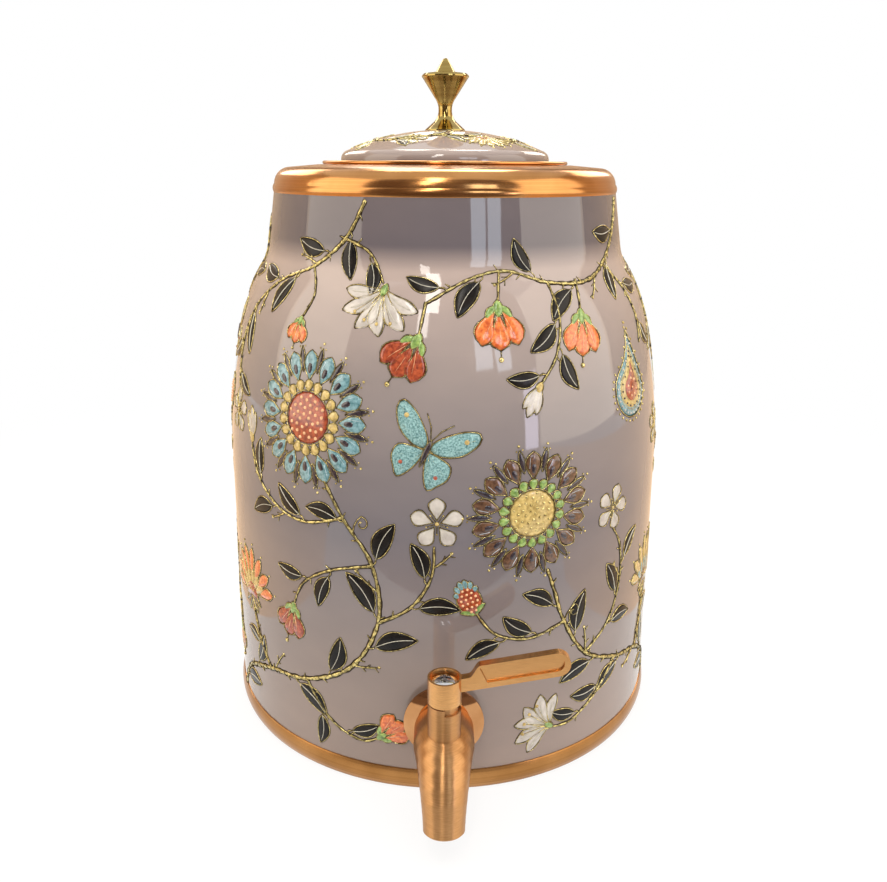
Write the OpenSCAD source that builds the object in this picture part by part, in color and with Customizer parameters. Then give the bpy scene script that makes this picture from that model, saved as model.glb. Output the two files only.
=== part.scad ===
// Copper water dispenser: an enamelled spun copper jar with a lift-off lid and a lever tap.
// Millimetres. Origin: centre of the underside of the foot. +Z is up and the tap faces -Y.

/* [Jar wall] */
// Outside radius of the wall at the foot
foot_r = 99.8; // [92:0.1:112]
// Outside radius at the top of the straight wall
belly_r = 98.2; // [92:0.1:112]
// Height of the straight wall
wall_h = 119; // [90:1:160]
// Thickness of the copper sheet with its enamel
wall_t = 1.0; // [0.8:0.1:2]
// Radius of the long lower curve of the shoulder
long_curve_r = 270; // [240:5:300]
// Lean of the wall where the long curve meets the short one
curve_change = 13.6; // [12:0.1:15]
// Radius of the short upper curve of the shoulder
short_curve_r = 85; // [75:1:95]
// Radius of the hollow curve under the neck
throat_curve_r = 20; // [14:1:28]

/* [Neck and mouth] */
// Outside radius of the neck at its bottom
neck_r = 77.2; // [73:0.1:80]
// Height of the neck below the rim collar
neck_h = 21.7; // [14:0.1:32]
// Inward lean of the neck
neck_lean = 8.5; // [4:0.5:10]
// Height of the neck's edge that is set in under the collar
tuck_h = 2.4; // [2:0.1:2.6]
// Radius of the mouth
mouth_r = 49.5; // [44:0.1:52]

/* [Rim collar] */
// Height of the lower band of the collar
band_h = 3.3; // [3.2:0.1:3.8]
// How far the lower band stands proud of the neck
band_proud = 0.4; // [0.2:0.1:1.2]
// Height of the collar from its lower edge to the lid seat
collar_h = 11.3; // [10.5:0.1:13]
// Step from the lower band in to the crown
crown_step = 0.7; // [0.5:0.1:1.2]
// Radius of the crown's outer shoulder
crown_curve_r = 7; // [5:0.5:7.5]
// Rise of the crown towards the lid seat
crown_rise = 5; // [2:0.5:5.5]
// Width of the flat seat round the mouth
seat_w = 5; // [4.6:0.1:7]
// Thickness of the collar's sheet
collar_t = 1.0; // [0.8:0.1:1.4]
// Depth of the lip turned down into the mouth
lip_h = 6; // [4:0.5:9]

/* [Foot] */
// Height of the copper band round the foot
band_foot_h = 9; // [6:0.5:14]
// How far the band swells out from the wall
band_foot_swell = 1.2; // [0.8:0.1:2]
// Radius of the swell of the band
band_foot_curve_r = 9.5; // [8:0.5:14]
// Height of the band's fullest part
band_foot_mid = 5; // [3:0.5:7]
// Thickness of the band's edge that is turned under the wall
foot_lip_t = 1.2; // [0.8:0.1:2]
// Thickness of the bottom plate
plate_t = 1.2; // [0.8:0.1:2]
// Height of the bottom plate's turned-up edge
plate_edge_h = 8; // [4:0.5:14]

/* [Lid] */
// Radius of the lid's flange
flange_r = 52.9; // [50.5:0.1:54]
// Thickness of the lid's flange
flange_t = 1.45; // [1:0.05:2]
// Width of the flange's ledge inside the dome
flange_ledge = 0.5; // [0.3:0.1:2]
// Radius of the lid's dome
dome_r = 44.9; // [40:0.1:47]
// Height of the dome's upright edge below its rounding
dome_edge_h = 0.6; // [0.2:0.1:2.5]
// Rounding of the dome's edge
dome_round = 3.8; // [3:0.1:5.5]
// Radius of the curve of the dome
dome_curve_r = 108; // [95:1:150]
// Thickness of the dome's sheet
dome_t = 1.0; // [0.8:0.1:1.6]
// Depth of the skirt that centres the lid in the mouth
skirt_h = 6; // [4:0.5:10]
// Thickness of the skirt
skirt_t = 1.0; // [0.8:0.1:1.6]
// Clearance between the skirt and the collar's lip
skirt_gap = 0.6; // [0.3:0.1:1]

/* [Knob] */
// Height of the knob
knob_h = 28.9; // [27:0.1:34]
// Radius of the knob's foot
knob_foot_r = 8.6; // [7:0.1:11]
// Radius of the knob's waist
knob_waist_r = 2.9; // [2.6:0.1:3.4]
// Height of the middle of the waist above the foot
knob_waist_h = 8.3; // [8:0.1:9.5]
// Length of the straight part of the waist
knob_waist_l = 0.4; // [0.4:0.1:1.6]
// Radius of the hollow curve above the waist
knob_upper_curve_r = 7.1; // [6:0.1:10]
// Radius of the hollow curve below the waist
knob_lower_curve_r = 6.4; // [4:0.1:7]
// Radius of the knob's disc
knob_disc_r = 10; // [9:0.1:12]
// Height of the disc's upper edge
knob_disc_h = 22.6; // [21:0.1:24]
// Thickness of the disc's edge
knob_disc_t = 1.6; // [1:0.1:2]
// Radius of the foot of the pointed tip
knob_tip_r = 4.2; // [3.5:0.1:5]
// Radius of the stud under the knob
stud_r = 2.0; // [1.5:0.1:2.2]
// Length of the stud inside the knob
stud_in = 6; // [4:0.5:8]
// Length of the stud below the dome
stud_out = 6; // [5.6:0.1:8]
// Width of the knob's nut across its flats
knob_nut_w = 7; // [6:0.1:9]
// Thickness of the knob's nut
knob_nut_t = 3.2; // [2.4:0.1:4]
// Radius of the knob's washer
knob_washer_r = 6; // [5:0.1:8]
// Thickness of the knob's washer
knob_washer_t = 1; // [0.6:0.1:1.6]

/* [Tap body] */
// Height of the tap's shank above the foot
tap_z = 33.5; // [30:0.5:70]
// Radius of the shank
shank_r = 8; // [7.2:0.1:9]
// Length of the shank inside the jar
shank_in = 15; // [14:0.5:22]
// Radius of the bore in the shank
shank_bore_r = 5; // [4:0.1:5.6]
// Radius of the water way
water_r = 3.2; // [2.4:0.1:3.4]
// Radius of the tap's knuckle
knuckle_r = 11.7; // [11:0.1:13]
// Rounding where the knuckle meets its flange
knuckle_round = 2.6; // [1:0.1:4]
// Distance from the jar to the start of the spout's bend
bend_out = 16.65; // [14:0.5:20]
// Radius of the spout's bend
bend_r = 18; // [16:0.5:22]
// Lean of the spout's end away from the jar
spout_lean = 13; // [6:1:20]
// Length of the straight end of the spout
spout_end = 9.3; // [9:0.1:12]
// Outside radius at the spout's mouth
spout_r = 7.8; // [7.2:0.1:8.6]
// Inside radius at the spout's mouth
outlet_r = 5.6; // [4.5:0.1:5.8]
// Depth of the wide bore inside the spout's mouth
outlet_h = 8; // [6:0.5:8.5]

/* [Tap valve] */
// Distance from the jar to the valve's upright axis
valve_out = 21.15; // [20:0.05:23]
// Radius of the upright barrel
barrel_r = 6.25; // [6.1:0.05:6.6]
// Height of the barrel's shoulder above the shank axis
barrel_h = 22; // [20:0.1:26]
// Radius of the valve bore
valve_r = 4.3; // [4:0.1:4.4]
// Depth of the valve bore below the shank axis
valve_drop = 6; // [5.5:0.1:7]
// Radius of the barrel's narrow neck inside the cap
barrel_neck_r = 5.2; // [5.1:0.1:5.4]
// Height of the barrel's narrow neck
barrel_neck_h = 4.7; // [4.4:0.1:5.8]
// Depth of the recess in the barrel's top edge that the cap's lug runs in
recess_h = 2.6; // [2.2:0.1:3]
// Running clearance of the valve plug
plug_gap = 0.05; // [0.02:0.01:0.08]
// Thickness of the O-rings on the plug
seal_t = 1.3; // [1:0.1:1.5]
// Radius of the cross port through the plug
port_r = 2.8; // [2:0.1:3]
// Radius of the plug's stem
stem_r = 3; // [2.6:0.1:3.1]
// Width of the square drive at the top of the stem
drive_w = 4.2; // [3.4:0.1:4.3]
// Depth of the retaining ring's groove below the barrel's shoulder
ring_drop = 4.4; // [4.2:0.1:5]
// Thickness of the retaining ring
ring_t = 0.8; // [0.6:0.1:1.2]
// Thickness of the slip washer on the barrel
slip_t = 0.5; // [0.3:0.1:0.8]

/* [Lever] */
// Outside radius of the lever's cap
cap_r = 6.3; // [6.2:0.1:7]
// Height of the cap
cap_h = 10.1; // [9.6:0.1:13]
// Thickness of the cap's floor
cap_floor_t = 2.4; // [2:0.1:2.6]
// Radius of the recess in the top of the cap
cap_well_r = 5.5; // [5:0.1:5.6]
// Angle that the cap's stop lug covers
lug_w = 24; // [16:1:30]
// Turn of the lever from shut to open
lever_turn = 90; // [60:5:100]
// Length of the lever from the valve axis
lever_len = 46.6; // [40:0.1:70]
// Upward slope of the lever
lever_rise = 10.6; // [0:0.1:16]
// Height of the lever's middle line above the cap's edge, at the valve axis
lever_lift = 8.3; // [7.5:0.1:8.6]
// Height of the lever's paddle
paddle_h = 9.6; // [8.5:0.1:12]
// Thickness of the lever
lever_t = 3.4; // [2.6:0.1:4]
// Height of the lever's narrow root at the cap
root_h = 5.4; // [4:0.1:5.6]
// Distance from the cap to the rise in the lever's upper edge
swing_out = 2.7; // [2:0.1:5]
// Distance from the cap to the lever's panel
panel_start = 7.3; // [6:0.1:12]
// Width of the raised edge below the lever's panel and at its end
panel_edge = 2.2; // [1.2:0.1:2.4]
// Width of the raised edge above the lever's panel
panel_top_edge = 1; // [0.8:0.1:2.4]
// Depth of the lever's panel
panel_depth = 0.9; // [0.4:0.1:1]

/* [Tap fixings] */
// Radius of the polished flange on the jar
rose_r = 16; // [15:0.1:20]
// Thickness of the flange at its middle
rose_t = 3; // [2.4:0.1:4]
// Thickness of the flange at its edge
rose_edge_t = 1; // [0.8:0.1:1.4]
// Thickness of the outer gasket
outer_gasket_t = 1.8; // [1.4:0.1:3]
// Radius of both gaskets
gasket_r = 14.4; // [13:0.1:14.8]
// Thickness of the inner gasket
inner_gasket_t = 2.4; // [2:0.1:4]
// Thickness of the shank's washer
shank_washer_t = 1.2; // [0.8:0.1:2]
// Width of the shank's nut across its flats
shank_nut_w = 24; // [22:0.5:27]
// Thickness of the shank's nut
shank_nut_t = 6; // [4:0.5:8]

/* [Hidden] */

$fn = 96;
// Facet count of the big turned shapes
turn_fn = 240;
// Gap between pieces of one assembly that touch along a curve
fit_gap = 0.05;
// Gap between pieces that rest on each other and come apart
rest_gap = 0.05;
// How far a cutting shape runs past the face that it cuts
past = 1;
// Clearance of a hole round the stud or the shank that goes through it
hole_gap = 0.3;

copper = "peru";
enamel = "tan";
brass = "goldenrod";
rubber = "dimgray";
steel = "silver";

// Lean of the straight wall from upright
wall_lean = atan((foot_r - belly_r) / wall_h);
// Lean of the wall at the top of the shoulder, found from the neck's radius
neck_turn = acos((long_curve_r * (cos(wall_lean) - cos(curve_change))
    + short_curve_r * cos(curve_change) + throat_curve_r * cos(neck_lean)
    - (belly_r - neck_r)) / (short_curve_r + throat_curve_r));
// Size in whole thousandths, so that strips drawn one on another share their edge
function whole(v) = round(v * 1000) / 1000;
// Outline of a slice of the round, from angle a to angle b
function slice_outline(r, a, b) = let (n = 8)
    concat([[0, 0]], [for (i = [0 : n]) let (t = a + (b - a) * i / n) r * [cos(t), sin(t)]]);
// Direction out of the wall where the wall leans by a
function out_of(a) = [cos(a), sin(a)];
// Centres of the three curves of the shoulder
long_c = [belly_r, wall_h] - long_curve_r * out_of(wall_lean);
short_c = long_c + (long_curve_r - short_curve_r) * out_of(curve_change);
throat_c = short_c + (short_curve_r + throat_curve_r) * out_of(neck_turn);
// Points where the curves meet, a distance d inside the outer face
function wall_p(d) = long_c + (long_curve_r - d) * out_of(wall_lean);
function change_p(d) = short_c + (short_curve_r - d) * out_of(curve_change);
function turn_p(d) = short_c + (short_curve_r - d) * out_of(neck_turn);
function throat_p(d) = throat_c - (throat_curve_r + d) * out_of(neck_lean);
// Radius of the straight wall at height z, a distance d inside
function wall_r(z, d = 0) = foot_r - d / cos(wall_lean) - z * tan(wall_lean);

collar_z = whole(throat_p(0)[1]) + neck_h;
neck_top_r = throat_p(0)[0] - neck_h * tan(neck_lean);
function neck_edge_r(d) = throat_p(d)[0] - (collar_z - throat_p(d)[1]) * tan(neck_lean);
band_r = neck_top_r + band_proud;
tuck_r = band_r - collar_t - fit_gap;
crown_r = band_r - crown_step;
seat_z = collar_z + collar_h;
seat_r = mouth_r + seat_w;
crown_c = let (x = crown_r - crown_curve_r)
    [x, seat_z - (x - seat_r) * tan(crown_rise) - crown_curve_r / cos(crown_rise)];

flange_z = whole(seat_z + rest_gap);
dome_z = flange_z + flange_t;
skirt_r = mouth_r - skirt_gap;
// Centre of the dome's rounded edge, and the centre of the dome that touches the rounding
dome_round_c = [dome_r - dome_round, dome_z + dome_edge_h];
dome_sphere_z = dome_round_c[1] - sqrt(pow(dome_curve_r - dome_round, 2) - pow(dome_round_c[0], 2));
dome_top_z = dome_sphere_z + dome_curve_r;
// Angle where the rounding meets the dome
dome_round_a = atan2(dome_round_c[1] - dome_sphere_z, dome_round_c[0]);
knob_z = dome_sphere_z + sqrt(pow(dome_curve_r + fit_gap, 2) - pow(knob_foot_r, 2));
stud_hole_r = stud_r + hole_gap;
under_dome_z = dome_sphere_z + sqrt(pow(dome_curve_r - dome_t, 2) - pow(knob_washer_r, 2));

jar_y = wall_r(tap_z);
rose_out = outer_gasket_t;
knuckle_out = rose_out + rose_t;
valve_y = jar_y + valve_out;
shank_hole_r = shank_r + hole_gap;
turn_angle = 90 - spout_lean;
bend_len = bend_r * turn_angle * PI / 180;
spout_len = bend_len + spout_end;
// Pieces that the curved spout is drawn with
spout_steps = 8;
// How the spout's radius falls along its length
spout_fall = 1.55;
// Bevel of the spout's outer edge
tip_bevel = 0.7;
// Difference in radius where the knob's hollow curves meet its cones and its waist
knob_seam = 0.02;
// Difference in radius where two turned shapes blend, and how far two drillings overlap there
seam = 0.05;
drill_lap = 0.3;
barrel_top = tap_z + barrel_h;
neck_top = barrel_top + barrel_neck_h;
// Gap between the barrel's shoulder and the cap's edge
cap_rest = 0.6;
cap_z = barrel_top + cap_rest;
cap_floor_z = neck_top + slip_t + 2 * rest_gap;
// How far the plug's square stays below the cap's floor
drive_short = 0.1;
drive_top = cap_floor_z + cap_floor_t - drive_short;
plug_r = valve_r - plug_gap;
// Room under the plug
plug_foot_gap = 0.4;
plug_bottom = tap_z - valve_drop + plug_foot_gap;
ring_z = barrel_top - ring_drop;
// Depth that the retaining ring reaches into the barrel's wall, and the width of its slot
ring_bite = 0.7;
ring_slot = 2.4;
// Clearance round the plug's stem
stem_gap = 0.3;
// Angle of the lug's front edge when shut, and the play left at each end of its run
lug_a = 2;
lug_play = 1;
// Room under the lug, and between it and the barrel
lug_gap = 0.2;
lug_h = cap_rest + recess_h - lug_gap;
lever_z = cap_z + lever_lift;
// Heights of the two seals above the water way
seal_rise = [3.4, 8.2];
seal_zs = [for (h = seal_rise) tap_z + water_r + h];
// Part of the seal's thickness that its groove holds
seal_hold = 0.8;
// Running clearance of the cap on the barrel's neck
cap_gap = 0.08;
cap_bore_r = barrel_neck_r + cap_gap;
screw_washer_t = 0.5;
screw_washer_w = 0.6;
screw_hole_gap = 0.2;
screw_head_r = 4.1;
screw_head_h = 2;
screw_rim_h = 0.9;
screw_r = 1.45;
screw_len = 7;
screw_slot_l = 5;
screw_slot_w = 1;
screw_seat_z = cap_floor_z + cap_floor_t + screw_washer_t + 2 * rest_gap;
// Where the lever's root starts, inside the cap's wall
root_in = 1;
lever_start = cap_well_r - root_in;
// Length of the rise in the lever's upper edge, and the points that draw it
swing_w = 5.2;
swing_steps = 20;
// Start of the lever's sunk panel and the slant of its end
panel_x = cap_r + panel_start;
panel_slant = 1.8;

// Area between the axis and a curve that bulges outwards, from height z0 to z1
module bulge(c, r, z0, z1) {
    x0 = max(whole(c[0]), 0);
    if (x0 > 0) translate([0, z0]) square([x0, z1 - z0]);
    intersection() {
        translate(c) circle(r = r, $fn = 720);
        translate([x0, z0]) square([whole(c[0] + r - x0) + past, z1 - z0]);
    }
}

// Area between the axis and a curve that hollows inwards, from height z0 to z1
module hollow(c, r, z0, z1) {
    difference() {
        translate([0, z0]) square([c[0], z1 - z0]);
        translate(c) circle(r = r, $fn = 720);
    }
}

// Half section of the jar up to the collar, a distance d inside its outer face
module jar_area(d) {
    wall_z = whole(wall_p(d)[1]);
    change_z = whole(change_p(d)[1]);
    turn_z = whole(turn_p(d)[1]);
    throat_z = whole(throat_p(d)[1]);
    polygon([[0, 0], [wall_r(0, d), 0], [wall_p(d)[0], wall_z], [0, wall_z]]);
    bulge(long_c, long_curve_r - d, wall_z, change_z);
    bulge(short_c, short_curve_r - d, change_z, turn_z);
    hollow(throat_c, throat_curve_r + d, turn_z, throat_z);
    polygon([[0, throat_z], [throat_p(d)[0], throat_z], [neck_edge_r(d), collar_z], [0, collar_z]]);
}

// Straight part of the jar as a solid, used to curve what is clamped to it
module jar_wall(d) {
    cylinder(h = wall_h, r1 = wall_r(0, d), r2 = wall_r(wall_h, d), $fn = turn_fn);
}

// Puts a shape drawn along +Z on the jar at the tap, pointing away from the jar
module on_jar(out = 0) {
    translate([0, -jar_y - out, tap_z]) rotate([90, 0, 0]) children();
}

// Puts a shape drawn along +Z on the valve's axis at height z
module on_valve(z = 0) {
    translate([0, -valve_y, z]) children();
}

// Flat ring
module ring(r_out, r_in, h) {
    difference() {
        cylinder(h = h, r = r_out);
        translate([0, 0, -past]) cylinder(h = h + 2 * past, r = r_in);
    }
}

// Six-sided nut with both ends bevelled and a bore
module nut(w, h, r_in) {
    bevel = 1.7 * h;
    difference() {
        intersection() {
            cylinder(h = h, r = w / 2 / cos(30), $fn = 6);
            cylinder(h = h, r1 = w / 2, r2 = w / 2 + bevel);
            cylinder(h = h, r1 = w / 2 + bevel, r2 = w / 2);
        }
        translate([0, 0, -past]) cylinder(h = h + 2 * past, r = r_in);
    }
}

// Spun copper wall of the jar, with its shoulder, its neck and the hole for the tap
module vessel_body() color(enamel) difference() {
    rotate_extrude($fn = turn_fn) difference() {
        union() {
            jar_area(0);
            translate([0, collar_z]) square([tuck_r, tuck_h]);
        }
        jar_area(wall_t);
        translate([0, collar_z - past]) square([tuck_r - wall_t, tuck_h + 2 * past]);
        translate([0, -past]) square([foot_r + past, foot_lip_t + past]);
    }
    on_jar(-3 * wall_t) cylinder(h = 6 * wall_t, r = shank_hole_r);
}

// Bottom plate, a shallow pan pushed up into the foot of the wall
module base_plate() color(copper) difference() {
    pan_gap = wall_t + fit_gap;
    cylinder(h = plate_edge_h, r1 = wall_r(0, pan_gap), r2 = wall_r(plate_edge_h, pan_gap), $fn = turn_fn);
    translate([0, 0, plate_t])
        cylinder(h = plate_edge_h, r1 = wall_r(plate_t, pan_gap + plate_t),
                 r2 = wall_r(plate_t + plate_edge_h, pan_gap + plate_t), $fn = turn_fn);
}

// Swelling copper band round the foot, with its edge turned under the wall
module foot_band() color(copper) rotate_extrude($fn = turn_fn) intersection() {
    lip_z = foot_lip_t - fit_gap;
    mid = [wall_r(band_foot_mid), band_foot_mid];
    out_r = mid[0] + 2 * band_foot_swell;
    // The swell leans with the wall
    translate(mid - (band_foot_curve_r - band_foot_swell) * out_of(wall_lean))
        circle(r = band_foot_curve_r, $fn = 360);
    polygon([[wall_r(0, wall_t), 0], [out_r, 0], [out_r, band_foot_h],
             [wall_r(band_foot_h, -fit_gap), band_foot_h],
             [wall_r(lip_z, -fit_gap), lip_z], [wall_r(0, wall_t), lip_z]]);
}

// Half section of the collar's crown, a distance d inside its outer face
module crown_area(d) {
    r = crown_curve_r - d;
    low_z = whole(crown_c[1]);
    edge_z = whole(crown_c[1] + r * cos(crown_rise));
    translate([0, collar_z]) square([crown_r - d, low_z - collar_z]);
    bulge(crown_c, r, low_z, edge_z);
    polygon([[0, edge_z], [crown_c[0] + r * sin(crown_rise), edge_z],
             [seat_r + (d - d / cos(crown_rise)) / tan(crown_rise), seat_z - d], [0, seat_z - d]]);
}

// Rolled copper collar that caps the neck, with the lid's seat and a lip down into the mouth
module rim_collar() color(copper) rotate_extrude($fn = turn_fn) {
    tuck_top = collar_z + tuck_h + fit_gap;
    band_in_r = tuck_r + fit_gap;
    step_in_r = crown_r - collar_t;
    // How far the step reaches into the band
    step_lap = 0.2 * collar_t;
    difference() {
        crown_area(0);
        crown_area(collar_t);
        translate([0, collar_z - past]) square([band_r, tuck_top - collar_z + past]);
        translate([0, tuck_top - past]) square([mouth_r, collar_h]);
    }
    // Beaded lower band over the neck's tucked edge, and the step that joins it to the crown
    intersection() {
        translate([band_r - band_h, collar_z + band_h / 2]) circle(r = band_h, $fn = 180);
        translate([band_in_r, collar_z]) square([band_h, band_h]);
    }
    translate([step_in_r, tuck_top])
        square([band_in_r + step_lap - step_in_r, collar_z + band_h - tuck_top]);
    translate([mouth_r, seat_z - lip_h]) square([collar_t, lip_h]);
}

// Flat copper flange of the lid, with a round edge
module lid_flange() color(copper) translate([0, 0, flange_z]) rotate_extrude($fn = turn_fn) {
    in_r = dome_r - dome_t - flange_ledge;
    translate([in_r, 0]) square([flange_r - flange_t / 2 - in_r, flange_t]);
    translate([flange_r - flange_t / 2, flange_t / 2]) intersection() {
        circle(r = flange_t / 2, $fn = 48);
        translate([0, -flange_t]) square([flange_t, 2 * flange_t]);
    }
}

// Skirt under the flange that centres the lid in the mouth
module lid_skirt() color(copper) translate([0, 0, flange_z - skirt_h])
    ring(skirt_r, skirt_r - skirt_t, skirt_h, $fn = turn_fn);

// Half section of the lid's dome, a distance d inside its outer face
module dome_area(d) {
    edge_r = whole(dome_round_c[0] + (dome_round - d) * cos(dome_round_a));
    round_z = whole(dome_round_c[1]);
    translate([0, dome_z]) square([dome_r - d, round_z - dome_z]);
    intersection() {
        translate(dome_round_c) circle(r = dome_round - d);
        translate([edge_r, round_z]) square([dome_round, dome_round]);
    }
    intersection() {
        translate([0, dome_sphere_z]) circle(r = dome_curve_r - d, $fn = 720);
        translate([0, round_z]) square([edge_r, dome_curve_r]);
    }
}

// Enamelled dome of the lid
module lid_dome() color(enamel) difference() {
    rotate_extrude($fn = turn_fn) difference() {
        dome_area(0);
        dome_area(dome_t);
    }
    translate([0, 0, dome_z]) cylinder(h = dome_curve_r, r = stud_hole_r);
}

// Half section of a flare of the knob, from the waist at height z to radius r at height end_z:
// a hollow curve and the cone that carries it on. Its end reaches a little into what it meets.
module knob_flare(z, r, end_z, curve_r) {
    flare_lap = 0.2;
    c = [knob_waist_r + curve_r, 0];
    p = [r, abs(end_z - z)];
    d = p - c;
    turn = atan2(d[1], d[0]) + acos(curve_r / norm(d));
    translate([0, z]) mirror([0, end_z < z ? 1 : 0]) difference() {
        polygon([[0, 0], c, c + curve_r * [cos(turn), sin(turn)], p,
                 [r, p[1] + flare_lap], [0, p[1] + flare_lap]]);
        translate(c) circle(r = curve_r + knob_seam, $fn = 180);
    }
}

// Half section of the brass knob, from its foot at 0 to its tip
module knob_area() {
    foot_edge = 0.3;
    low_bevel = 0.3;
    top_bevel = 0.8;
    crest_rise = 0.7;
    tip_end_r = 0.9;
    tip_end_h = 0.4;
    disc_low = knob_disc_h - knob_disc_t;
    tip_z = knob_disc_h + crest_rise;
    waist_low = knob_waist_h - knob_waist_l / 2;
    waist_top = knob_waist_h + knob_waist_l / 2;
    // How far the straight waist reaches into the two flares
    waist_lap = 0.05;
    translate([0, -past]) square([knob_foot_r, foot_edge + past]);
    knob_flare(waist_low, knob_foot_r, foot_edge, knob_lower_curve_r);
    translate([0, waist_low - waist_lap])
        square([knob_waist_r - knob_seam, knob_waist_l + 2 * waist_lap]);
    knob_flare(waist_top, knob_disc_r - low_bevel, disc_low, knob_upper_curve_r);
    polygon([[0, disc_low], [knob_disc_r - low_bevel, disc_low], [knob_disc_r, disc_low + low_bevel],
             [knob_disc_r, knob_disc_h - top_bevel], [knob_disc_r - top_bevel, knob_disc_h],
             [knob_tip_r, tip_z], [tip_end_r, knob_h - tip_end_h], [0, knob_h]]);
}

// Turned brass knob with a waist, a flared disc and a pointed tip
module lid_knob() color(brass) difference() {
    translate([0, 0, knob_z]) rotate_extrude() knob_area();
    translate([0, 0, dome_sphere_z]) sphere(r = dome_curve_r + fit_gap, $fn = turn_fn);
    translate([0, 0, dome_sphere_z]) cylinder(h = dome_top_z - dome_sphere_z + stud_in, r = stud_r + fit_gap);
}

// Stud that holds the knob through the dome
module knob_stud() color(steel)
    translate([0, 0, under_dome_z - stud_out])
        cylinder(h = dome_top_z - under_dome_z + stud_out + stud_in - fit_gap, r = stud_r);

// Washer under the dome
module knob_washer() color(steel)
    translate([0, 0, under_dome_z - knob_washer_t - fit_gap]) ring(knob_washer_r, stud_hole_r, knob_washer_t);

// Nut under the dome
module knob_nut() color(steel)
    translate([0, 0, under_dome_z - knob_washer_t - knob_nut_t - 2 * fit_gap])
        nut(knob_nut_w, knob_nut_t, stud_r + fit_gap);

// Point on the spout's centre line, a distance s from the start of the bend, as [y, z]
function spout_p(s) = let (a = min(s, bend_len) / bend_r * 180 / PI, e = max(s - bend_len, 0))
    [-jar_y - bend_out - bend_r * sin(a) - e * cos(turn_angle),
     tap_z - bend_r * (1 - cos(a)) - e * sin(turn_angle)];
// Outside radius of the spout at s
function spout_r_at(s) = spout_r + (knuckle_r - spout_r) * pow(1 - s / spout_len, spout_fall);

// Cone that touches two balls of radius r1 at p and r2 at q, thinner by the seam
module cone_between(p, q, r1, r2) {
    d = q - p;
    slope = asin((r1 - r2) / norm(d));
    translate([0, p[0], p[1]]) rotate([atan2(d[0], -d[1]), 0, 0]) mirror([0, 0, 1])
        translate([0, 0, r1 * sin(slope)])
            cylinder(h = norm(d) + (r2 - r1) * sin(slope),
                     r1 = r1 * cos(slope) - seam, r2 = r2 * cos(slope) - seam);
}

// Tapering spout that bends down from the knuckle
module spout() {
    for (i = [0 : spout_steps - 1]) {
        s = spout_len * i / spout_steps;
        t = spout_len * (i + 1) / spout_steps;
        p = spout_p(s);
        cone_between(p, spout_p(t), spout_r_at(s), spout_r_at(t));
        translate([0, p[0], p[1]]) sphere(r = spout_r_at(s));
    }
}

// Curved water way from the valve to the spout's mouth, with a tighter bend than the spout's own
module water_bend() {
    end_p = spout_p(bend_len);
    corner_y = end_p[0] + (tap_z - end_p[1]) * tan(spout_lean);
    start_y = -valve_y - valve_r / 2;
    r = (start_y - corner_y) / tan(turn_angle / 2);
    translate([0, start_y, tap_z - r]) rotate([0, 0, 180]) rotate([0, -90, 0])
        rotate_extrude(angle = turn_angle) translate([r, 0]) circle(r = water_r);
    // A ball blends the bend into the straight drilling
    translate([0, start_y - r * sin(turn_angle), tap_z - r * (1 - cos(turn_angle))]) {
        sphere(r = water_r + seam);
        rotate([-spout_lean, 0, 0]) mirror([0, 0, 1]) translate([0, 0, -drill_lap])
            cylinder(h = spout_len, r = water_r);
    }
}

// Cast tap: shank, knuckle, upright barrel and tapering spout, bored for the valve plug
module tap_body() color(copper) difference() {
    tip = spout_p(spout_len);
    union() {
        on_jar(-shank_in) cylinder(h = shank_in + knuckle_out + past, r = shank_r);
        on_jar(knuckle_out) rotate_extrude() {
            round_c = knuckle_r - seam - knuckle_round;
            square([round_c, knuckle_round]);
            translate([round_c, knuckle_round]) intersection() {
                circle(r = knuckle_round);
                translate([0, -knuckle_round]) square([knuckle_round, knuckle_round]);
            }
        }
        on_jar(knuckle_out + knuckle_round)
            cylinder(h = bend_out - knuckle_out - knuckle_round, r = knuckle_r - seam);
        spout();
        on_valve(tap_z) cylinder(h = barrel_h, r = barrel_r);
        on_valve(barrel_top - past) cylinder(h = barrel_neck_h + past, r = barrel_neck_r);
    }
    on_valve(tap_z - valve_drop) cylinder(h = valve_drop + barrel_h + barrel_neck_h + past, r = valve_r);
    on_valve(ring_z) cylinder(h = ring_t + 2 * fit_gap, r = valve_r + ring_bite);
    // Recess round the barrel's neck for the lug of the lever's cap
    on_valve(barrel_top - recess_h) difference() {
        linear_extrude(height = recess_h + past)
            polygon(slice_outline(2 * barrel_r, lug_a - lever_turn - lug_play, lug_a + lug_w + lug_play));
        cylinder(h = recess_h + past, r = barrel_neck_r + fit_gap);
    }
    on_jar(-shank_in - past) cylinder(h = shank_in + past + knuckle_out, r = shank_bore_r);
    on_jar() cylinder(h = valve_out - valve_r / 2, r = water_r);
    water_bend();
    // The spout's end is faced off square to its axis, bevelled and bored out
    translate([0, tip[0], tip[1]]) rotate([-spout_lean, 0, 0]) {
        rotate_extrude() polygon([[0, -spout_r], [2 * spout_r, -spout_r], [2 * spout_r, tip_bevel + past],
                                  [spout_r + past, tip_bevel + past], [spout_r - tip_bevel, 0], [0, 0]]);
        translate([0, 0, -past]) cylinder(h = outlet_h + past, r = outlet_r);
    }
}

// Polished domed flange between the tap and the jar
module tap_rose() color(copper) on_jar(rose_out) difference() {
    rise = rose_t - rose_edge_t;
    flat_r = knuckle_r - knuckle_round;
    // Ball whose cap falls by the rise between the flat and the edge
    ball_z = (pow(flat_r, 2) - pow(rose_r, 2) + pow(rise, 2)) / 2 / rise;
    ball_r = sqrt(pow(rose_r, 2) + pow(ball_z, 2));
    intersection() {
        cylinder(h = rose_t - rest_gap, r = rose_r);
        translate([0, 0, rose_edge_t + ball_z]) sphere(r = ball_r, $fn = turn_fn);
    }
    translate([0, 0, -past]) cylinder(h = rose_t + 2 * past, r = shank_r + fit_gap);
}

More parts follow.
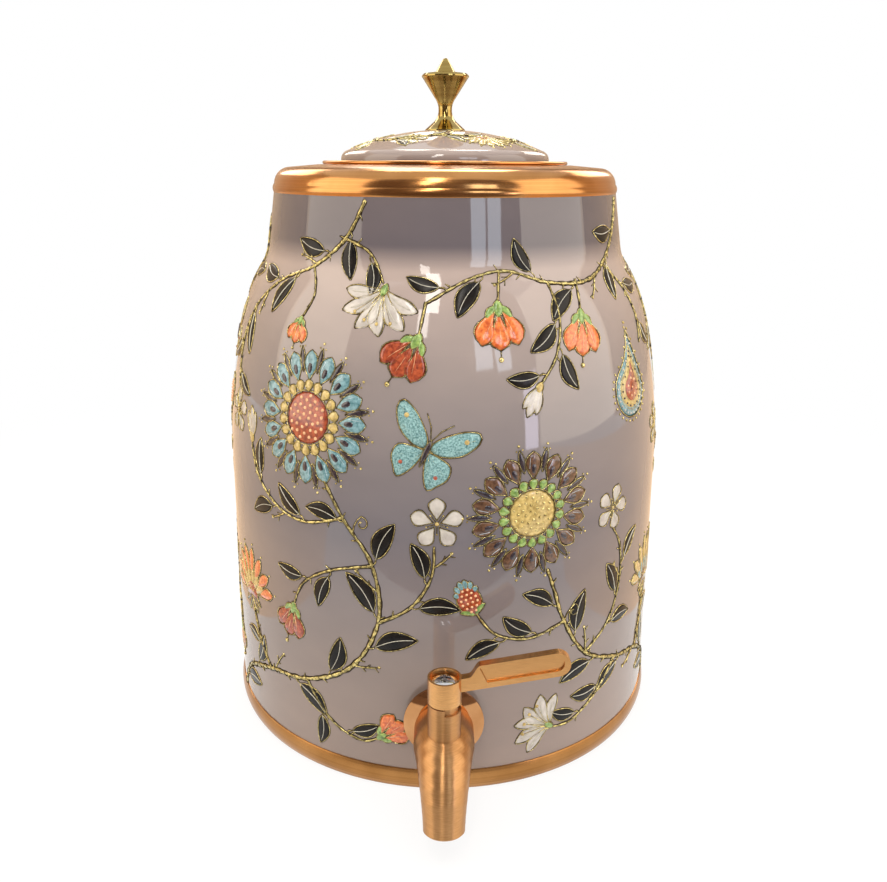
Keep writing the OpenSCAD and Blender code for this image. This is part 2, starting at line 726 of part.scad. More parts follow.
// Rubber gasket outside the jar, hollowed to its curve
module outer_gasket() color(rubber) difference() {
    // Depth that covers the fall of the wall's curve across the gasket
    back = 3;
    on_jar(-back) cylinder(h = back + rose_out - rest_gap, r = gasket_r);
    jar_wall(-fit_gap);
    on_jar(-back - past) cylinder(h = back + rose_out + 2 * past, r = shank_r + fit_gap);
}

// Rubber gasket inside the jar, crowned to its curve
module inner_gasket() color(rubber) difference() {
    intersection() {
        on_jar(-wall_t - inner_gasket_t) cylinder(h = inner_gasket_t + wall_t, r = gasket_r);
        jar_wall(wall_t + fit_gap);
    }
    on_jar(-wall_t - inner_gasket_t - past)
        cylinder(h = inner_gasket_t + 2 * past + wall_t, r = shank_r + fit_gap);
}

// Steel washer on the shank inside the jar
module shank_washer() color(steel)
    on_jar(-wall_t - inner_gasket_t - shank_washer_t - rest_gap)
        ring(gasket_r - shank_washer_t / 2, shank_r + fit_gap, shank_washer_t);

// Nut that clamps the tap to the jar
module shank_nut() color(brass)
    on_jar(-wall_t - inner_gasket_t - shank_washer_t - shank_nut_t - 2 * rest_gap)
        nut(shank_nut_w, shank_nut_t, shank_r + fit_gap);

// Groove radius of the plug's seals
function seal_groove_r() = plug_r - seal_t * seal_hold;

// Turning plug with its cross port, seal grooves, stem and square drive
module valve_plug() color(brass) difference() {
    body_top = ring_z - fit_gap;
    union() {
        on_valve(plug_bottom) cylinder(h = body_top - plug_bottom, r = plug_r);
        on_valve(body_top - past) cylinder(h = cap_floor_z - fit_gap - body_top + past, r = stem_r);
        on_valve(cap_floor_z - fit_gap - past) translate([-drive_w / 2, -drive_w / 2, 0])
            cube([drive_w, drive_w, drive_top - cap_floor_z + fit_gap + past]);
    }
    on_valve(tap_z) rotate([0, 90, 0]) translate([0, 0, -valve_r - past])
        cylinder(h = 2 * (valve_r + past), r = port_r);
    for (z = seal_zs) on_valve(z - seal_t / 2) ring(valve_r + past, seal_groove_r(), seal_t);
    on_valve(drive_top - screw_len) cylinder(h = screw_len + past, r = screw_r + fit_gap);
}

// O-rings that seal the plug in its bore
module plug_seals() color(rubber) for (z = seal_zs) on_valve(z)
    rotate_extrude() intersection() {
        in_r = seal_groove_r() + plug_gap / 4;
        out_r = valve_r - plug_gap / 2;
        // Round section, pressed flat by the groove and the bore
        translate([(in_r + out_r) / 2, 0]) circle(r = seal_t / 2 - plug_gap / 2);
        translate([in_r, -seal_t]) square([out_r - in_r, 2 * seal_t]);
    }

// Spring ring that keeps the plug down in its bore
module plug_ring() color(steel) on_valve(ring_z + fit_gap) difference() {
    cylinder(h = ring_t, r = valve_r + ring_bite - fit_gap);
    translate([0, 0, -past]) cylinder(h = ring_t + 2 * past, r = stem_r + stem_gap);
    translate([-ring_slot / 2, 0, -past]) cube([ring_slot, 2 * valve_r, ring_t + 2 * past]);
}

// Slippery washer between the barrel and the cap's floor
module slip_washer() color("white") on_valve(neck_top + rest_gap)
    ring(barrel_neck_r - rest_gap, stem_r + stem_gap, slip_t);

// Outline of the lever, with x along it from the valve axis and y across it
module lever_outline() {
    half_h = paddle_h / 2;
    rise = paddle_h - root_h;
    root_y = half_h - rise;
    end_x = lever_len - half_h;
    swing_x = cap_r + swing_out;
    // The upper edge rises from the root to the paddle in half a wave
    swing = [for (i = [swing_steps : -1 : 0])
        [swing_x + swing_w * i / swing_steps, root_y + rise * (1 - cos(180 * i / swing_steps)) / 2]];
    polygon(concat([[lever_start, -half_h], [end_x, -half_h], [end_x, half_h]], swing,
                   [[lever_start, root_y]]));
    translate([end_x, 0]) intersection() {
        circle(r = half_h);
        translate([0, -half_h]) square([half_h, paddle_h]);
    }
}

// Outline of the sunk panel in each face of the lever, with a slanted end towards the cap
module panel_outline() {
    low_y = panel_edge - paddle_h / 2;
    top_y = paddle_h / 2 - panel_top_edge;
    r = (top_y - low_y) / 2;
    end_x = lever_len - panel_edge - r;
    polygon([[panel_x, top_y], [end_x, top_y], [end_x, low_y], [panel_x + panel_slant, low_y]]);
    translate([end_x, low_y + r]) intersection() {
        circle(r = r);
        translate([0, -r]) square([r, 2 * r]);
    }
}

// Lever and its cap, cast in one: the cap turns on the barrel's neck and drives the plug's square
module lever_cap() color(copper) difference() {
    low_z = cap_z - lug_h;
    union() {
        on_valve(low_z) cylinder(h = lug_h + cap_h, r = cap_r);
        on_valve(lever_z) rotate([0, -lever_rise, 0]) rotate([90, 0, 0]) difference() {
            translate([0, 0, -lever_t / 2]) linear_extrude(height = lever_t) lever_outline();
            for (side = [-1, 1]) translate([0, 0, side * lever_t / 2])
                linear_extrude(height = 2 * panel_depth, center = true) panel_outline();
        }
    }
    // Only the lug is left below the cap's edge
    on_valve(low_z - past) linear_extrude(height = lug_h + past)
        polygon(slice_outline(2 * cap_r, lug_a + lug_w, lug_a + 360));
    on_valve(low_z - past) cylinder(h = lug_h + past, r = cap_bore_r + lug_gap);
    on_valve(cap_z - past) cylinder(h = cap_floor_z - cap_z + past, r = cap_bore_r);
    on_valve(cap_floor_z + cap_floor_t) cylinder(h = cap_h, r = cap_well_r);
    on_valve(cap_floor_z - past) translate([-drive_w / 2 - fit_gap, -drive_w / 2 - fit_gap, 0])
        cube([drive_w + 2 * fit_gap, drive_w + 2 * fit_gap, cap_floor_t + 2 * past]);
}

// Chromed screw that holds the lever on the plug, with a cross in its domed head
module lever_screw() color(steel) on_valve(screw_seat_z) difference() {
    dome = (pow(screw_head_r, 2) + pow(screw_head_h - screw_rim_h, 2)) / 2 / (screw_head_h - screw_rim_h);
    union() {
        translate([0, 0, drive_top - screw_seat_z - screw_len + fit_gap])
            cylinder(h = screw_seat_z - drive_top + screw_len, r = screw_r);
        intersection() {
            cylinder(h = screw_head_h, r = screw_head_r);
            translate([0, 0, screw_head_h - dome]) sphere(r = dome);
        }
    }
    for (a = [0, 90]) rotate([0, 0, a]) translate([-screw_slot_l / 2, -screw_slot_w / 2, screw_rim_h])
        cube([screw_slot_l, screw_slot_w, screw_head_h]);
}

// Washer under the screw's head
module screw_washer() color(steel) on_valve(cap_floor_z + cap_floor_t + rest_gap)
    ring(screw_head_r + screw_washer_w, screw_r + screw_hole_gap, screw_washer_t);

vessel_body();
base_plate();
foot_band();
rim_collar();
lid_flange();
lid_skirt();
lid_dome();
lid_knob();
knob_stud();
knob_washer();
knob_nut();
tap_body();
tap_rose();
outer_gasket();
inner_gasket();
shank_washer();
shank_nut();
valve_plug();
plug_seals();
plug_ring();
slip_washer();
lever_cap();
lever_screw();
screw_washer();
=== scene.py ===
import math

import bpy
from mathutils import Matrix, Vector


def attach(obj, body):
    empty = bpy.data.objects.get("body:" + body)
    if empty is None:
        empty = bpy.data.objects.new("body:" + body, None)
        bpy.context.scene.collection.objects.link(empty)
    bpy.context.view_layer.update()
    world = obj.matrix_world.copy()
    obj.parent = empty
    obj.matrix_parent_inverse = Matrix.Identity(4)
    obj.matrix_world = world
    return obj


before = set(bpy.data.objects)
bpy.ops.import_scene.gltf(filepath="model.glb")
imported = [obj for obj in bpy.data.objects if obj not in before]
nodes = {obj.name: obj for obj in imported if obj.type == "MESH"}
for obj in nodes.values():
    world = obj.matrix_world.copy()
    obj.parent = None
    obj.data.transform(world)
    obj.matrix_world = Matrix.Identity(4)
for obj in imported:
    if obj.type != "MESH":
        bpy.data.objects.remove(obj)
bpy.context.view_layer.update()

# Camera.
# A view from a little above the lid, close to the jar, so that the mouth and the foot
# show as wide ellipses. Its swing round the jar and its roll are small, in degrees.
EYE = Vector((0.0, -0.399, 0.245))
LOOK_DOWN = 17.6
SWING = -0.4
ROLL = 0.3
camera_data = bpy.data.cameras.new("camera")
camera = bpy.data.objects.new("camera", camera_data)
bpy.context.scene.collection.objects.link(camera)
swing = Matrix.Rotation(math.radians(SWING), 3, "Z")
camera.location = swing @ EYE
camera.rotation_euler = (swing @ Matrix.Rotation(math.radians(90 - LOOK_DOWN), 3, "X")
                         @ Matrix.Rotation(math.radians(ROLL), 3, "Z")).to_euler()
camera_data.sensor_width = 36.0
camera_data.lens = 35.43
camera_data.clip_start = 0.01
bpy.context.scene.camera = camera
bpy.context.scene.view_settings.view_transform = "Standard"


# Studio.
# A pale sweep that the jar stands on and that keeps its shadow, soft light from above and in
# front, and warm windows at the sides. Boards and small windows stand round the jar, as for
# any shiny pot, so that its curves show.
def node(tree, kind, **settings):
    """A new node in a tree, with these settings."""
    made = tree.nodes.new(kind)
    for key, value in settings.items():
        setattr(made, key, value)
    return made


def finish(name):
    """A new node material, with its tree and its shader."""
    material = bpy.data.materials.new(name)
    material.use_nodes = True
    return material, material.node_tree, material.node_tree.nodes["Principled BSDF"]


def seen_rays(tree):
    """1 for rays from the camera, and for those that metal and glass send on."""
    ray = node(tree, "ShaderNodeLightPath")
    total = ray.outputs["Is Camera Ray"]
    for name in ("Is Glossy Ray", "Is Transmission Ray"):
        either = node(tree, "ShaderNodeMath", operation="MAXIMUM")
        tree.links.new(total, either.inputs[0])
        tree.links.new(ray.outputs[name], either.inputs[1])
        total = either.outputs["Value"]
    return total


world = bpy.data.worlds.new("studio")
bpy.context.scene.world = world
world.use_nodes = True
tree = world.node_tree
sky = tree.nodes["Background"]
sky.inputs["Color"].default_value = (0.90, 0.92, 0.96, 1)
sky.inputs["Strength"].default_value = 0.22
white_sky = node(tree, "ShaderNodeBackground")
white_sky.inputs["Color"].default_value = (1, 1, 1, 1)
sky_mix = node(tree, "ShaderNodeMixShader")
tree.links.new(seen_rays(tree), sky_mix.inputs["Fac"])
tree.links.new(sky.outputs["Background"], sky_mix.inputs[1])
tree.links.new(white_sky.outputs["Background"], sky_mix.inputs[2])
tree.links.new(sky_mix.outputs["Shader"], tree.nodes["World Output"].inputs["Surface"])

# The sweep glows white where it is seen. Near the jar it glows less, so that the shadow stays.
SHADOW_NEAR, SHADOW_FAR = 0.12, 0.60
GLOW_NEAR = 0.86
bpy.ops.mesh.primitive_plane_add(size=6.0, location=(0, 0, -0.0002))
table = bpy.context.object
table.name = "table"
table_finish, tree, board = finish("pale table")
board.inputs["Base Color"].default_value = (0.88, 0.87, 0.86, 1)
board.inputs["Roughness"].default_value = 0.8
board.inputs["Specular IOR Level"].default_value = 0.1
glow = node(tree, "ShaderNodeEmission")
reach = node(tree, "ShaderNodeVectorMath", operation="LENGTH")
tree.links.new(node(tree, "ShaderNodeTexCoord").outputs["Object"], reach.inputs[0])
fade = node(tree, "ShaderNodeMapRange", interpolation_type="SMOOTHSTEP")
fade.inputs["From Min"].default_value = SHADOW_NEAR
fade.inputs["From Max"].default_value = SHADOW_FAR
fade.inputs["To Min"].default_value = GLOW_NEAR
tree.links.new(reach.outputs["Value"], fade.inputs["Value"])
share = node(tree, "ShaderNodeMath", operation="MULTIPLY")
tree.links.new(seen_rays(tree), share.inputs[0])
tree.links.new(fade.outputs["Result"], share.inputs[1])
table_mix = node(tree, "ShaderNodeMixShader")
tree.links.new(share.outputs["Value"], table_mix.inputs["Fac"])
tree.links.new(board.outputs["BSDF"], table_mix.inputs[1])
tree.links.new(glow.outputs["Emission"], table_mix.inputs[2])
tree.links.new(table_mix.outputs["Shader"], tree.nodes["Material Output"].inputs["Surface"])
table.data.materials.append(table_finish)


def lamp(name, place, size, power, colour, toward=0.13):
    """A soft box that faces the jar's axis at a given height."""
    data = bpy.data.lights.new(name, "AREA")
    data.shape = "RECTANGLE"
    data.size, data.size_y = size
    data.energy = power
    data.color = colour
    box = bpy.data.objects.new(name, data)
    bpy.context.scene.collection.objects.link(box)
    box.location = place
    facing = Vector((0, 0, toward)) - Vector(place)
    box.rotation_euler = facing.to_track_quat("-Z", "Y").to_euler()
    return box


# The boxes above and in front light the colours and don't show in what shines. The roof
# window gives the collar its highlight, the spout window the spout, and the rest show as
# windows in the enamel.
WARM = (1.0, 0.93, 0.86)
DAY = (1.0, 0.96, 0.90)
lamp("window_left", (-1.05, -0.40, 0.62), (1.15, 1.2), 6.8, (1.0, 0.82, 0.61), 0.62)
lamp("window_right", (1.05, -0.40, 0.62), (1.15, 1.2), 6.8, (1.0, 0.86, 0.69), 0.62)
lamp("top_box", (0.0, -0.30, 1.25), (1.6, 0.5), 11.0, (1.0, 0.92, 0.84)).visible_glossy = False
lamp("roof_window", (0.0, 0.62, 1.16), (0.55, 0.36), 6.0, (1.0, 0.95, 0.88))
lamp("front_box", (0.0, -0.95, 1.02), (2.4, 0.80), 5.0, WARM, 0.2).visible_glossy = False
lamp("back_window", (-0.07, 1.32, 0.80), (0.30, 0.55), 2.2, (1.0, 0.97, 0.90))
for name, x in (("pane_left", 0.24), ("pane_right", 0.38)):
    lamp(name, (x, -0.68, 0.40), (0.11, 0.20), 0.30, (0.74, 0.86, 1.0), 0.22)
lamp("small_window", (-0.15, -0.70, 0.52), (0.07, 0.34), 0.65, DAY)
lamp("spout_window", (-0.07, -0.52, 0.74), (0.09, 0.30), 1.0, DAY, 0.04)
lamp("low_window", (0.56, -0.63, 0.17), (0.10, 0.24), 0.45, (0.80, 0.78, 1.0), 0.06)
for name, x in (("back_left", -0.8), ("back_right", 0.8)):
    lamp(name, (x, 0.9, 0.7), (0.6, 0.8), 7.5, WARM)


def card(name, corners, colour):
    """A board that only shows in what shines."""
    mesh = bpy.data.meshes.new(name)
    mesh.from_pydata(corners, [], [(0, 1, 2, 3)])
    board = bpy.data.objects.new(name, mesh)
    bpy.context.scene.collection.objects.link(board)
    paint, _, shader = finish(name)
    shader.inputs["Base Color"].default_value = (*colour, 1)
    shader.inputs["Roughness"].default_value = 0.9
    mesh.materials.append(paint)
    board.visible_camera = False
    board.visible_diffuse = False
    board.visible_shadow = False


DUSK = (0.10, 0.075, 0.07)
WALLPAPER = (0.50, 0.37, 0.25)
LINEN = (0.62, 0.45, 0.30)
LYING = 0.0005
card("front_card", [(-0.92, -0.72, 0.0), (0.76, -0.72, 0.0),
                    (0.76, -0.72, 1.15), (-0.92, -0.72, 1.15)], DUSK)
card("back_card", [(-0.5, 1.4, 0.0), (0.5, 1.4, 0.0), (0.5, 1.4, 1.3), (-0.5, 1.4, 1.3)], WALLPAPER)
card("low_card", [(-0.92, -0.72, LYING), (0.76, -0.72, LYING),
                  (0.28, -0.27, LYING), (-0.34, -0.27, LYING)], DUSK)
for name, side in (("left", -1), ("right", 1)):
    card("side_card_" + name, [(side * 1.3, 0.1, 0.0), (side * 0.5, 1.4, 0.0),
                               (side * 0.5, 1.4, 1.3), (side * 1.3, 0.1, 1.3)], WALLPAPER)
    card("cloth_" + name, [(side * 0.22, -0.16, LYING), (side * 0.95, -0.75, LYING),
                           (side * 0.9, 1.4, LYING), (side * 0.10, 0.24, LYING)], LINEN)


# Jar wall.
# Spun copper, dipped in a greyed pink enamel and fired to a deep gloss. The enamel varies a little
# in tone, with faint streaks round the jar. Light and shade are also painted into its colour up the
# height: warmer at the foot, a painted dark grey reflection at mid height, a painted highlight band
# on the shoulder, painted shade on the neck under the collar and painted light on the dome.
def noise(tree, vector, scale, detail=3.0, rough=0.55):
    """A cloudy pattern from 0 to 1."""
    made = node(tree, "ShaderNodeTexNoise")
    made.inputs["Scale"].default_value = scale
    made.inputs["Detail"].default_value = detail
    made.inputs["Roughness"].default_value = rough
    tree.links.new(vector, made.inputs["Vector"])
    return made.outputs["Fac"]


def stretched(tree, scale=(1, 1, 1)):
    """Object coordinates, stretched so that a noise makes streaks."""
    place = node(tree, "ShaderNodeTexCoord")
    mapping = node(tree, "ShaderNodeMapping")
    mapping.inputs["Scale"].default_value = scale
    tree.links.new(place.outputs["Object"], mapping.inputs["Vector"])
    return mapping.outputs["Vector"]


def ramp(tree, value, *stops):
    """Colours at places from 0 to 1 along a value."""
    made = node(tree, "ShaderNodeValToRGB")
    bar = made.color_ramp.elements
    while len(bar) < len(stops):
        bar.new(0.5)
    for element, (place, colour) in zip(bar, stops):
        element.position = place
        element.color = (*colour, 1)
    tree.links.new(value, made.inputs["Fac"])
    return made.outputs["Color"]


def bump(tree, shader, height, strength, distance):
    """Makes the surface look raised where a value is high."""
    made = node(tree, "ShaderNodeBump")
    made.inputs["Strength"].default_value = strength
    made.inputs["Distance"].default_value = distance
    tree.links.new(height, made.inputs["Height"])
    tree.links.new(made.outputs["Normal"], shader.inputs["Normal"])


def wear(cad_node, material):
    """Gives a CAD node its finish."""
    for held in nodes[cad_node].material_slots:
        held.material = material


NECK_TOP = 0.25
CLOUDS = ((0.30, (0.198, 0.176, 0.178)), (0.52, (0.226, 0.199, 0.199)),
          (0.75, (0.262, 0.227, 0.220)))
# Painted light and shade by height, multiplied into the enamel's colour: a painted dark reflection
# at mid height, a painted highlight band on the shoulder, painted shade on the neck and painted
# light on the dome.
PAINTED_LIGHT_BY_HEIGHT = ((0.0, (1.10, 0.98, 0.86)), (0.22, (0.98, 0.92, 0.86)), (0.44, (0.62, 0.66, 0.75)),
            (0.68, (1.05, 1.04, 1.02)), (0.83, (1.62, 1.52, 1.40)), (0.865, (0.47, 0.47, 0.53)),
            (0.97, (0.50, 0.49, 0.53)), (1.0, (1.28, 1.22, 1.14)))
ground, tree, shader = finish("greyed pink enamel")
clouded = ramp(tree, noise(tree, stretched(tree, (1, 1, 2.2)), 9.0, 4.0), *CLOUDS)
parts = node(tree, "ShaderNodeSeparateXYZ")
tree.links.new(stretched(tree), parts.inputs["Vector"])
height = node(tree, "ShaderNodeMapRange")
height.inputs["From Max"].default_value = NECK_TOP
tree.links.new(parts.outputs["Z"], height.inputs["Value"])
both = node(tree, "ShaderNodeMix", data_type="RGBA", blend_type="MULTIPLY")
both.inputs[0].default_value = 1.0
tree.links.new(clouded, both.inputs[6])
tree.links.new(ramp(tree, height.outputs["Result"], *PAINTED_LIGHT_BY_HEIGHT), both.inputs[7])
tree.links.new(both.outputs[2], shader.inputs["Base Color"])
shader.inputs["Roughness"].default_value = 0.05
shader.inputs["Coat Weight"].default_value = 0.25
shader.inputs["Coat Roughness"].default_value = 0.03
shader.inputs["Coat Tint"].default_value = (1.0, 0.95, 0.88, 1)
bump(tree, shader, noise(tree, stretched(tree), 26.0, 2.0), 0.05, 0.002)
wear("vessel_body", ground)

# Flowers on the wall.
# Enamel flowers and leaves laid on by hand, each petal a raised drop of glossy enamel inside
# a line of gold. They are drawn flat, in millimetres round and up the wall, and wrapped on it.
MM = 0.001

# The wall's profile is a leaning straight, then tangent arcs, each with its radius and the
# lean it ends at: two that bend inwards over the shoulder, and one back up into the neck.
WALL_R = 98.0
FOOT_R = 99.8
BELLY_R, BELLY_Z = 98.2, 119.0
WALL_LEAN = math.atan2(FOOT_R - BELLY_R, BELLY_Z)
WALL_ARCS = ((270.0, math.radians(13.6)), (85.0, math.radians(32.105)), (-20.0, math.radians(8.5)))


def wall_at(up):
    """Radius, height and inward lean of the wall at a distance up its face."""
    lean = WALL_LEAN
    along = min(up, math.hypot(FOOT_R - BELLY_R, BELLY_Z))
    r, z = FOOT_R - along * math.sin(lean), along * math.cos(lean)
    for arc_r, end in WALL_ARCS:
        up -= along
        if up <= 0:
            return r, z, lean
        along = min(up, arc_r * (end - lean))
        turned = lean + along / arc_r
        r += arc_r * (math.cos(turned) - math.cos(lean))
        z += arc_r * (math.sin(turned) - math.sin(lean))
        lean = turned
    up -= along
    return r - up * math.sin(lean), z + up * math.cos(lean), lean


def on_wall(across, up, lift):
    """A point of the flat drawing, wrapped on the wall. 0 across is above the tap."""
    r, z, lean = wall_at(up)
    r += lift * math.cos(lean)
    z += lift * math.sin(lean)
    turn = across / WALL_R
    return r * math.sin(turn) * MM, -r * math.cos(turn) * MM, z * MM


# Strips have one of three cross sections, as places across the half width and shares of the
# height. SUNK is how deep the edge of each drop and line lies in the ground enamel, and EDGE
# is how far the dark line shows beside a gold one.
RIDGE = ((-1, 0), (0, 1), (1, 0))
DROP = ((-1, 0), (-0.7, 0.8), (0, 1), (0.7, 0.8), (1, 0))
VALLEY = ((-1, 0), (-0.75, 1), (0, 0.5), (0.75, 1), (1, 0))
SUNK = 0.06
EDGE = 0.26

# What is drawn so far, as points and faces of each colour, and the surface it is wrapped on.
drawing = {}
surface = [on_wall]


def stretch_at(up):
    """How much wider a flower is drawn where the jar narrows, so that it keeps its shape."""
    return WALL_R / wall_at(up)[0] if surface[0] is on_wall else 1.0


def put(colour, points, faces):
    """Adds wrapped points and faces to the piece of that colour."""
    held = drawing.setdefault(colour, ([], []))
    start = len(held[0])
    held[0].extend(surface[0](*p) for p in points)
    held[1].extend(tuple(start + k for k in face) for face in faces)


def sweep(colour, spine, halves, height, cross):
    """A raised strip along a line, with a half width at each point and a closed underside."""
    n, m = len(spine), len(cross)
    points, faces = [], []
    for i, (x, y) in enumerate(spine):
        (ax, ay), (bx, by) = spine[max(i - 1, 0)], spine[min(i + 1, n - 1)]
        length = math.hypot(bx - ax, by - ay) or 1.0
        nx, ny = -(by - ay) / length, (bx - ax) / length
        half = halves[i]
        tall = height * min(1.0, half / max(halves) * 2.5)
        points += [(x + side * half * nx, y + side * half * ny, rise * tall - SUNK)
                   for side, rise in cross]
    for i in range(n - 1):
        for j in range(m):
            k = (j + 1) % m
            faces.append((i * m + j, (i + 1) * m + j, (i + 1) * m + k, i * m + k))
    faces.append(tuple(range(m)))
    faces.append(tuple((n - 1) * m + j for j in reversed(range(m))))
    put(colour, points, faces)


def patch(colour, outline, height, centre=None, rings=((1, 0), (0.86, 0.8))):
    """A raised drop that fills an outline drawn anticlockwise round its centre."""
    n = len(outline)
    cx, cy = centre or (sum(p[0] for p in outline) / n, sum(p[1] for p in outline) / n)
    points, faces = [], []
    for share, rise in rings:
        points += [(cx + share * (x - cx), cy + share * (y - cy), rise * height - SUNK)
                   for x, y in outline]
    points += [(cx, cy, height - SUNK), (cx, cy, -SUNK)]
    top, under = len(points) - 2, len(points) - 1
    last = (len(rings) - 1) * n
    for j in range(n):
        k = (j + 1) % n
        for ring in range(0, last, n):
            faces.append((ring + j, ring + k, ring + n + k, ring + n + j))
        faces.append((last + j, last + k, top))
        faces.append((k, j, under))
    put(colour, points, faces)


def circle(x, y, r, n=8):
    """Points round a circle, anticlockwise."""
    return [(x + r * math.cos(2 * math.pi * k / n), y + r * math.sin(2 * math.pi * k / n))
            for k in range(n)]


def bead(colour, x, y, r, height=0.45):
    """A small round drop."""
    patch(colour, circle(x, y, r), height, (x, y), ((1, 0), (0.65, 0.75)))


def smooth_line(points, step=2.0):
    """A curve through given points, as points about a step apart."""
    made = []
    for i in range(len(points) - 1):
        p0, p1 = points[max(i - 1, 0)], points[i]
        p2, p3 = points[i + 1], points[min(i + 2, len(points) - 1)]
        count = max(2, round(math.dist(p1, p2) / step))
        for k in range(count):
            t = k / count
            made.append(tuple(
                0.5 * (2 * b + (c - a) * t + (2 * a - 5 * b + 4 * c - d) * t * t
                       + (3 * b - a - 3 * c + d) * t ** 3)
                for a, b, c, d in zip(p0, p1, p2, p3)))
    return made + [points[-1]]


def gold(points, width=0.62, end=None, height=0.42):
    """A raised gold line on a slightly wider dark one."""
    n = len(points)
    end = width if end is None else end
    halves = [(width + (end - width) * i / (n - 1)) / 2 for i in range(n)]
    halves[0] *= 0.5
    halves[-1] *= 0.5
    sweep("gold", points, halves, height, RIDGE)
    sweep("dark", points, [h + EDGE for h in halves], height * 0.4, RIDGE)


def rim(outline, width):
    """A gold line all round an outline."""
    gold(outline + outline[:2], width)


def at(x, y, turn=0.0, size=1.0, mirror=1):
    """Places a flower's own drawing in the big one: its own up points along turn, in degrees."""
    a = math.radians(turn)
    stretch = stretch_at(y)

    def place(px, py):
        px, py = px * size * mirror, py * size
        return (x + stretch * (px * math.cos(a) + py * math.sin(a)),
                y - px * math.sin(a) + py * math.cos(a))
    return place


def aim(degrees):
    """How far a heading goes across and up. 0 degrees is up."""
    return math.sin(math.radians(degrees)), math.cos(math.radians(degrees))


def blade(place, base, tip, width, colour, bend=0.0, fat=0.5, height=0.45, cross=DROP,
          line=0.52, count=9):
    """A petal or leaf from base to tip, fullest at fat of its length, with its gold edge."""
    (ax, ay), (bx, by) = base, tip
    dx, dy = bx - ax, by - ay
    length = math.hypot(dx, dy)
    nx, ny = -dy / length, dx / length
    spine, sides = [], ([], [])
    for k in range(count):
        t = k / (count - 1)
        out = bend * length * math.sin(math.pi * t)
        swell = math.sin(math.pi * t ** (math.log(0.5) / math.log(fat)))
        half = width / 2 * swell ** 0.85 + 0.04
        x, y = ax + dx * t + nx * out, ay + dy * t + ny * out
        spine.append(place(x, y))
        sides[0].append(place(x + nx * half, y + ny * half))
        sides[1].append(place(x - nx * half, y - ny * half))
    sweep(colour, spine, [math.dist(a, b) / 2 * 0.97 for a, b in zip(*sides)], height, cross)
    for side in sides:
        gold(side, line, line * 0.8)
    return spine


def leaf(x, y, turn, length, side):
    """A black leaf with a pale rib, bent to its own side."""
    spine = blade(at(x, y, turn), (0, 0), (0, length), length * 0.44, "leaf", 0.08 * side,
                  0.45, 0.4, VALLEY, 0.5, 11)
    sweep("pale", spine[:-1], [0.24] * (len(spine) - 2) + [0.12], 0.5, RIDGE)


def curl(x, y, turn, size, side):
    """A thin gold tendril that winds up at its end."""
    place = at(x, y, turn, size, side)
    points = [place(0, -0.1)]
    for k in range(15):
        a = math.radians(30 * k)
        r = 0.46 * (1 - k / 17)
        points.append(place(0.46 - r * math.cos(a), 0.55 * min(k, 3) / 3 + r * math.sin(a)))
    gold(points, 0.55, 0.35)
    bead("gold", *points[-1], 0.55)


def twig(x, y, turn, length, side):
    """A short thorny shoot with a knob of gold at its end."""
    place = at(x, y, turn)
    line = [(side * 0.16 * length * (k / 6) ** 2, length * k / 6) for k in range(7)]
    gold([place(*p) for p in line], 1.0, 0.5, 0.5)
    for k, out in ((2, 1), (3, -1), (5, 1)):
        px, py = line[k]
        gold([place(px, py), place(px + out * 1.7, py + 1.9)], 0.6, 0.2)
    bead("gold", *place(*line[-1]), 0.75)


# The turn from one seed to the next, with which they fill a round evenly.
GOLDEN_TURN = 2.39996


def rosette(x, y, turn, r, petals, inner, core, seed, count, scallops=18, seeds=34):
    """A round many-petalled flower with a scalloped, seeded middle."""
    stretch = stretch_at(y)

    def ring(share, n):
        return [(x + stretch * (px - x), py) for px, py in circle(x, y, r * share, n)]
    for k in range(count):
        place = at(x, y, turn + 360 * k / count)
        blade(place, (0, r * 0.54), (0, r * 0.98), r * 0.27, petals, 0, 0.6, 0.5, DROP, 0.45)
        blade(place, (0, r * 0.61), (0, r * 0.82), r * 0.115, "dark_petal", 0, 0.55, 0.62, DROP,
              0.24, 6)
        # A pale blue stroke on one side of each petal is a painted highlight.
        sweep("shine", [place(-r * 0.07, r * 0.72), place(-r * 0.06, r * 0.88)], [0.30, 0.12],
              0.60, RIDGE)
        place = at(x, y, turn + 360 * k / count + 180 / count)
        blade(place, (0, r * 0.66), (0, r * 1.04), r * 0.10, "dark_petal", 0, 0.5, 0.35, DROP,
              0.3, 6)
        bead("gold", *place(0, r * 1.10), 0.62)
        for side in (-1, 1):
            bead("gold", *place(side * r * 0.05, r * 1.03), 0.42)
    for k in range(scallops):
        place = at(x, y, turn + 360 * k / scallops)
        blade(place, (0, r * 0.37), (0, r * 0.56), r * 0.155, inner, 0, 0.62, 0.45, DROP, 0.35, 7)
    patch(core, ring(0.39, 20), 0.35, (x, y))
    for k in range(seeds):
        a, far = GOLDEN_TURN * k, r * 0.34 * math.sqrt((k + 0.5) / seeds)
        bead(seed, x + stretch * far * math.cos(a), y + far * math.sin(a), r * 0.026 + 0.15, 0.75)
    rim(ring(0.4, 24), 0.45)


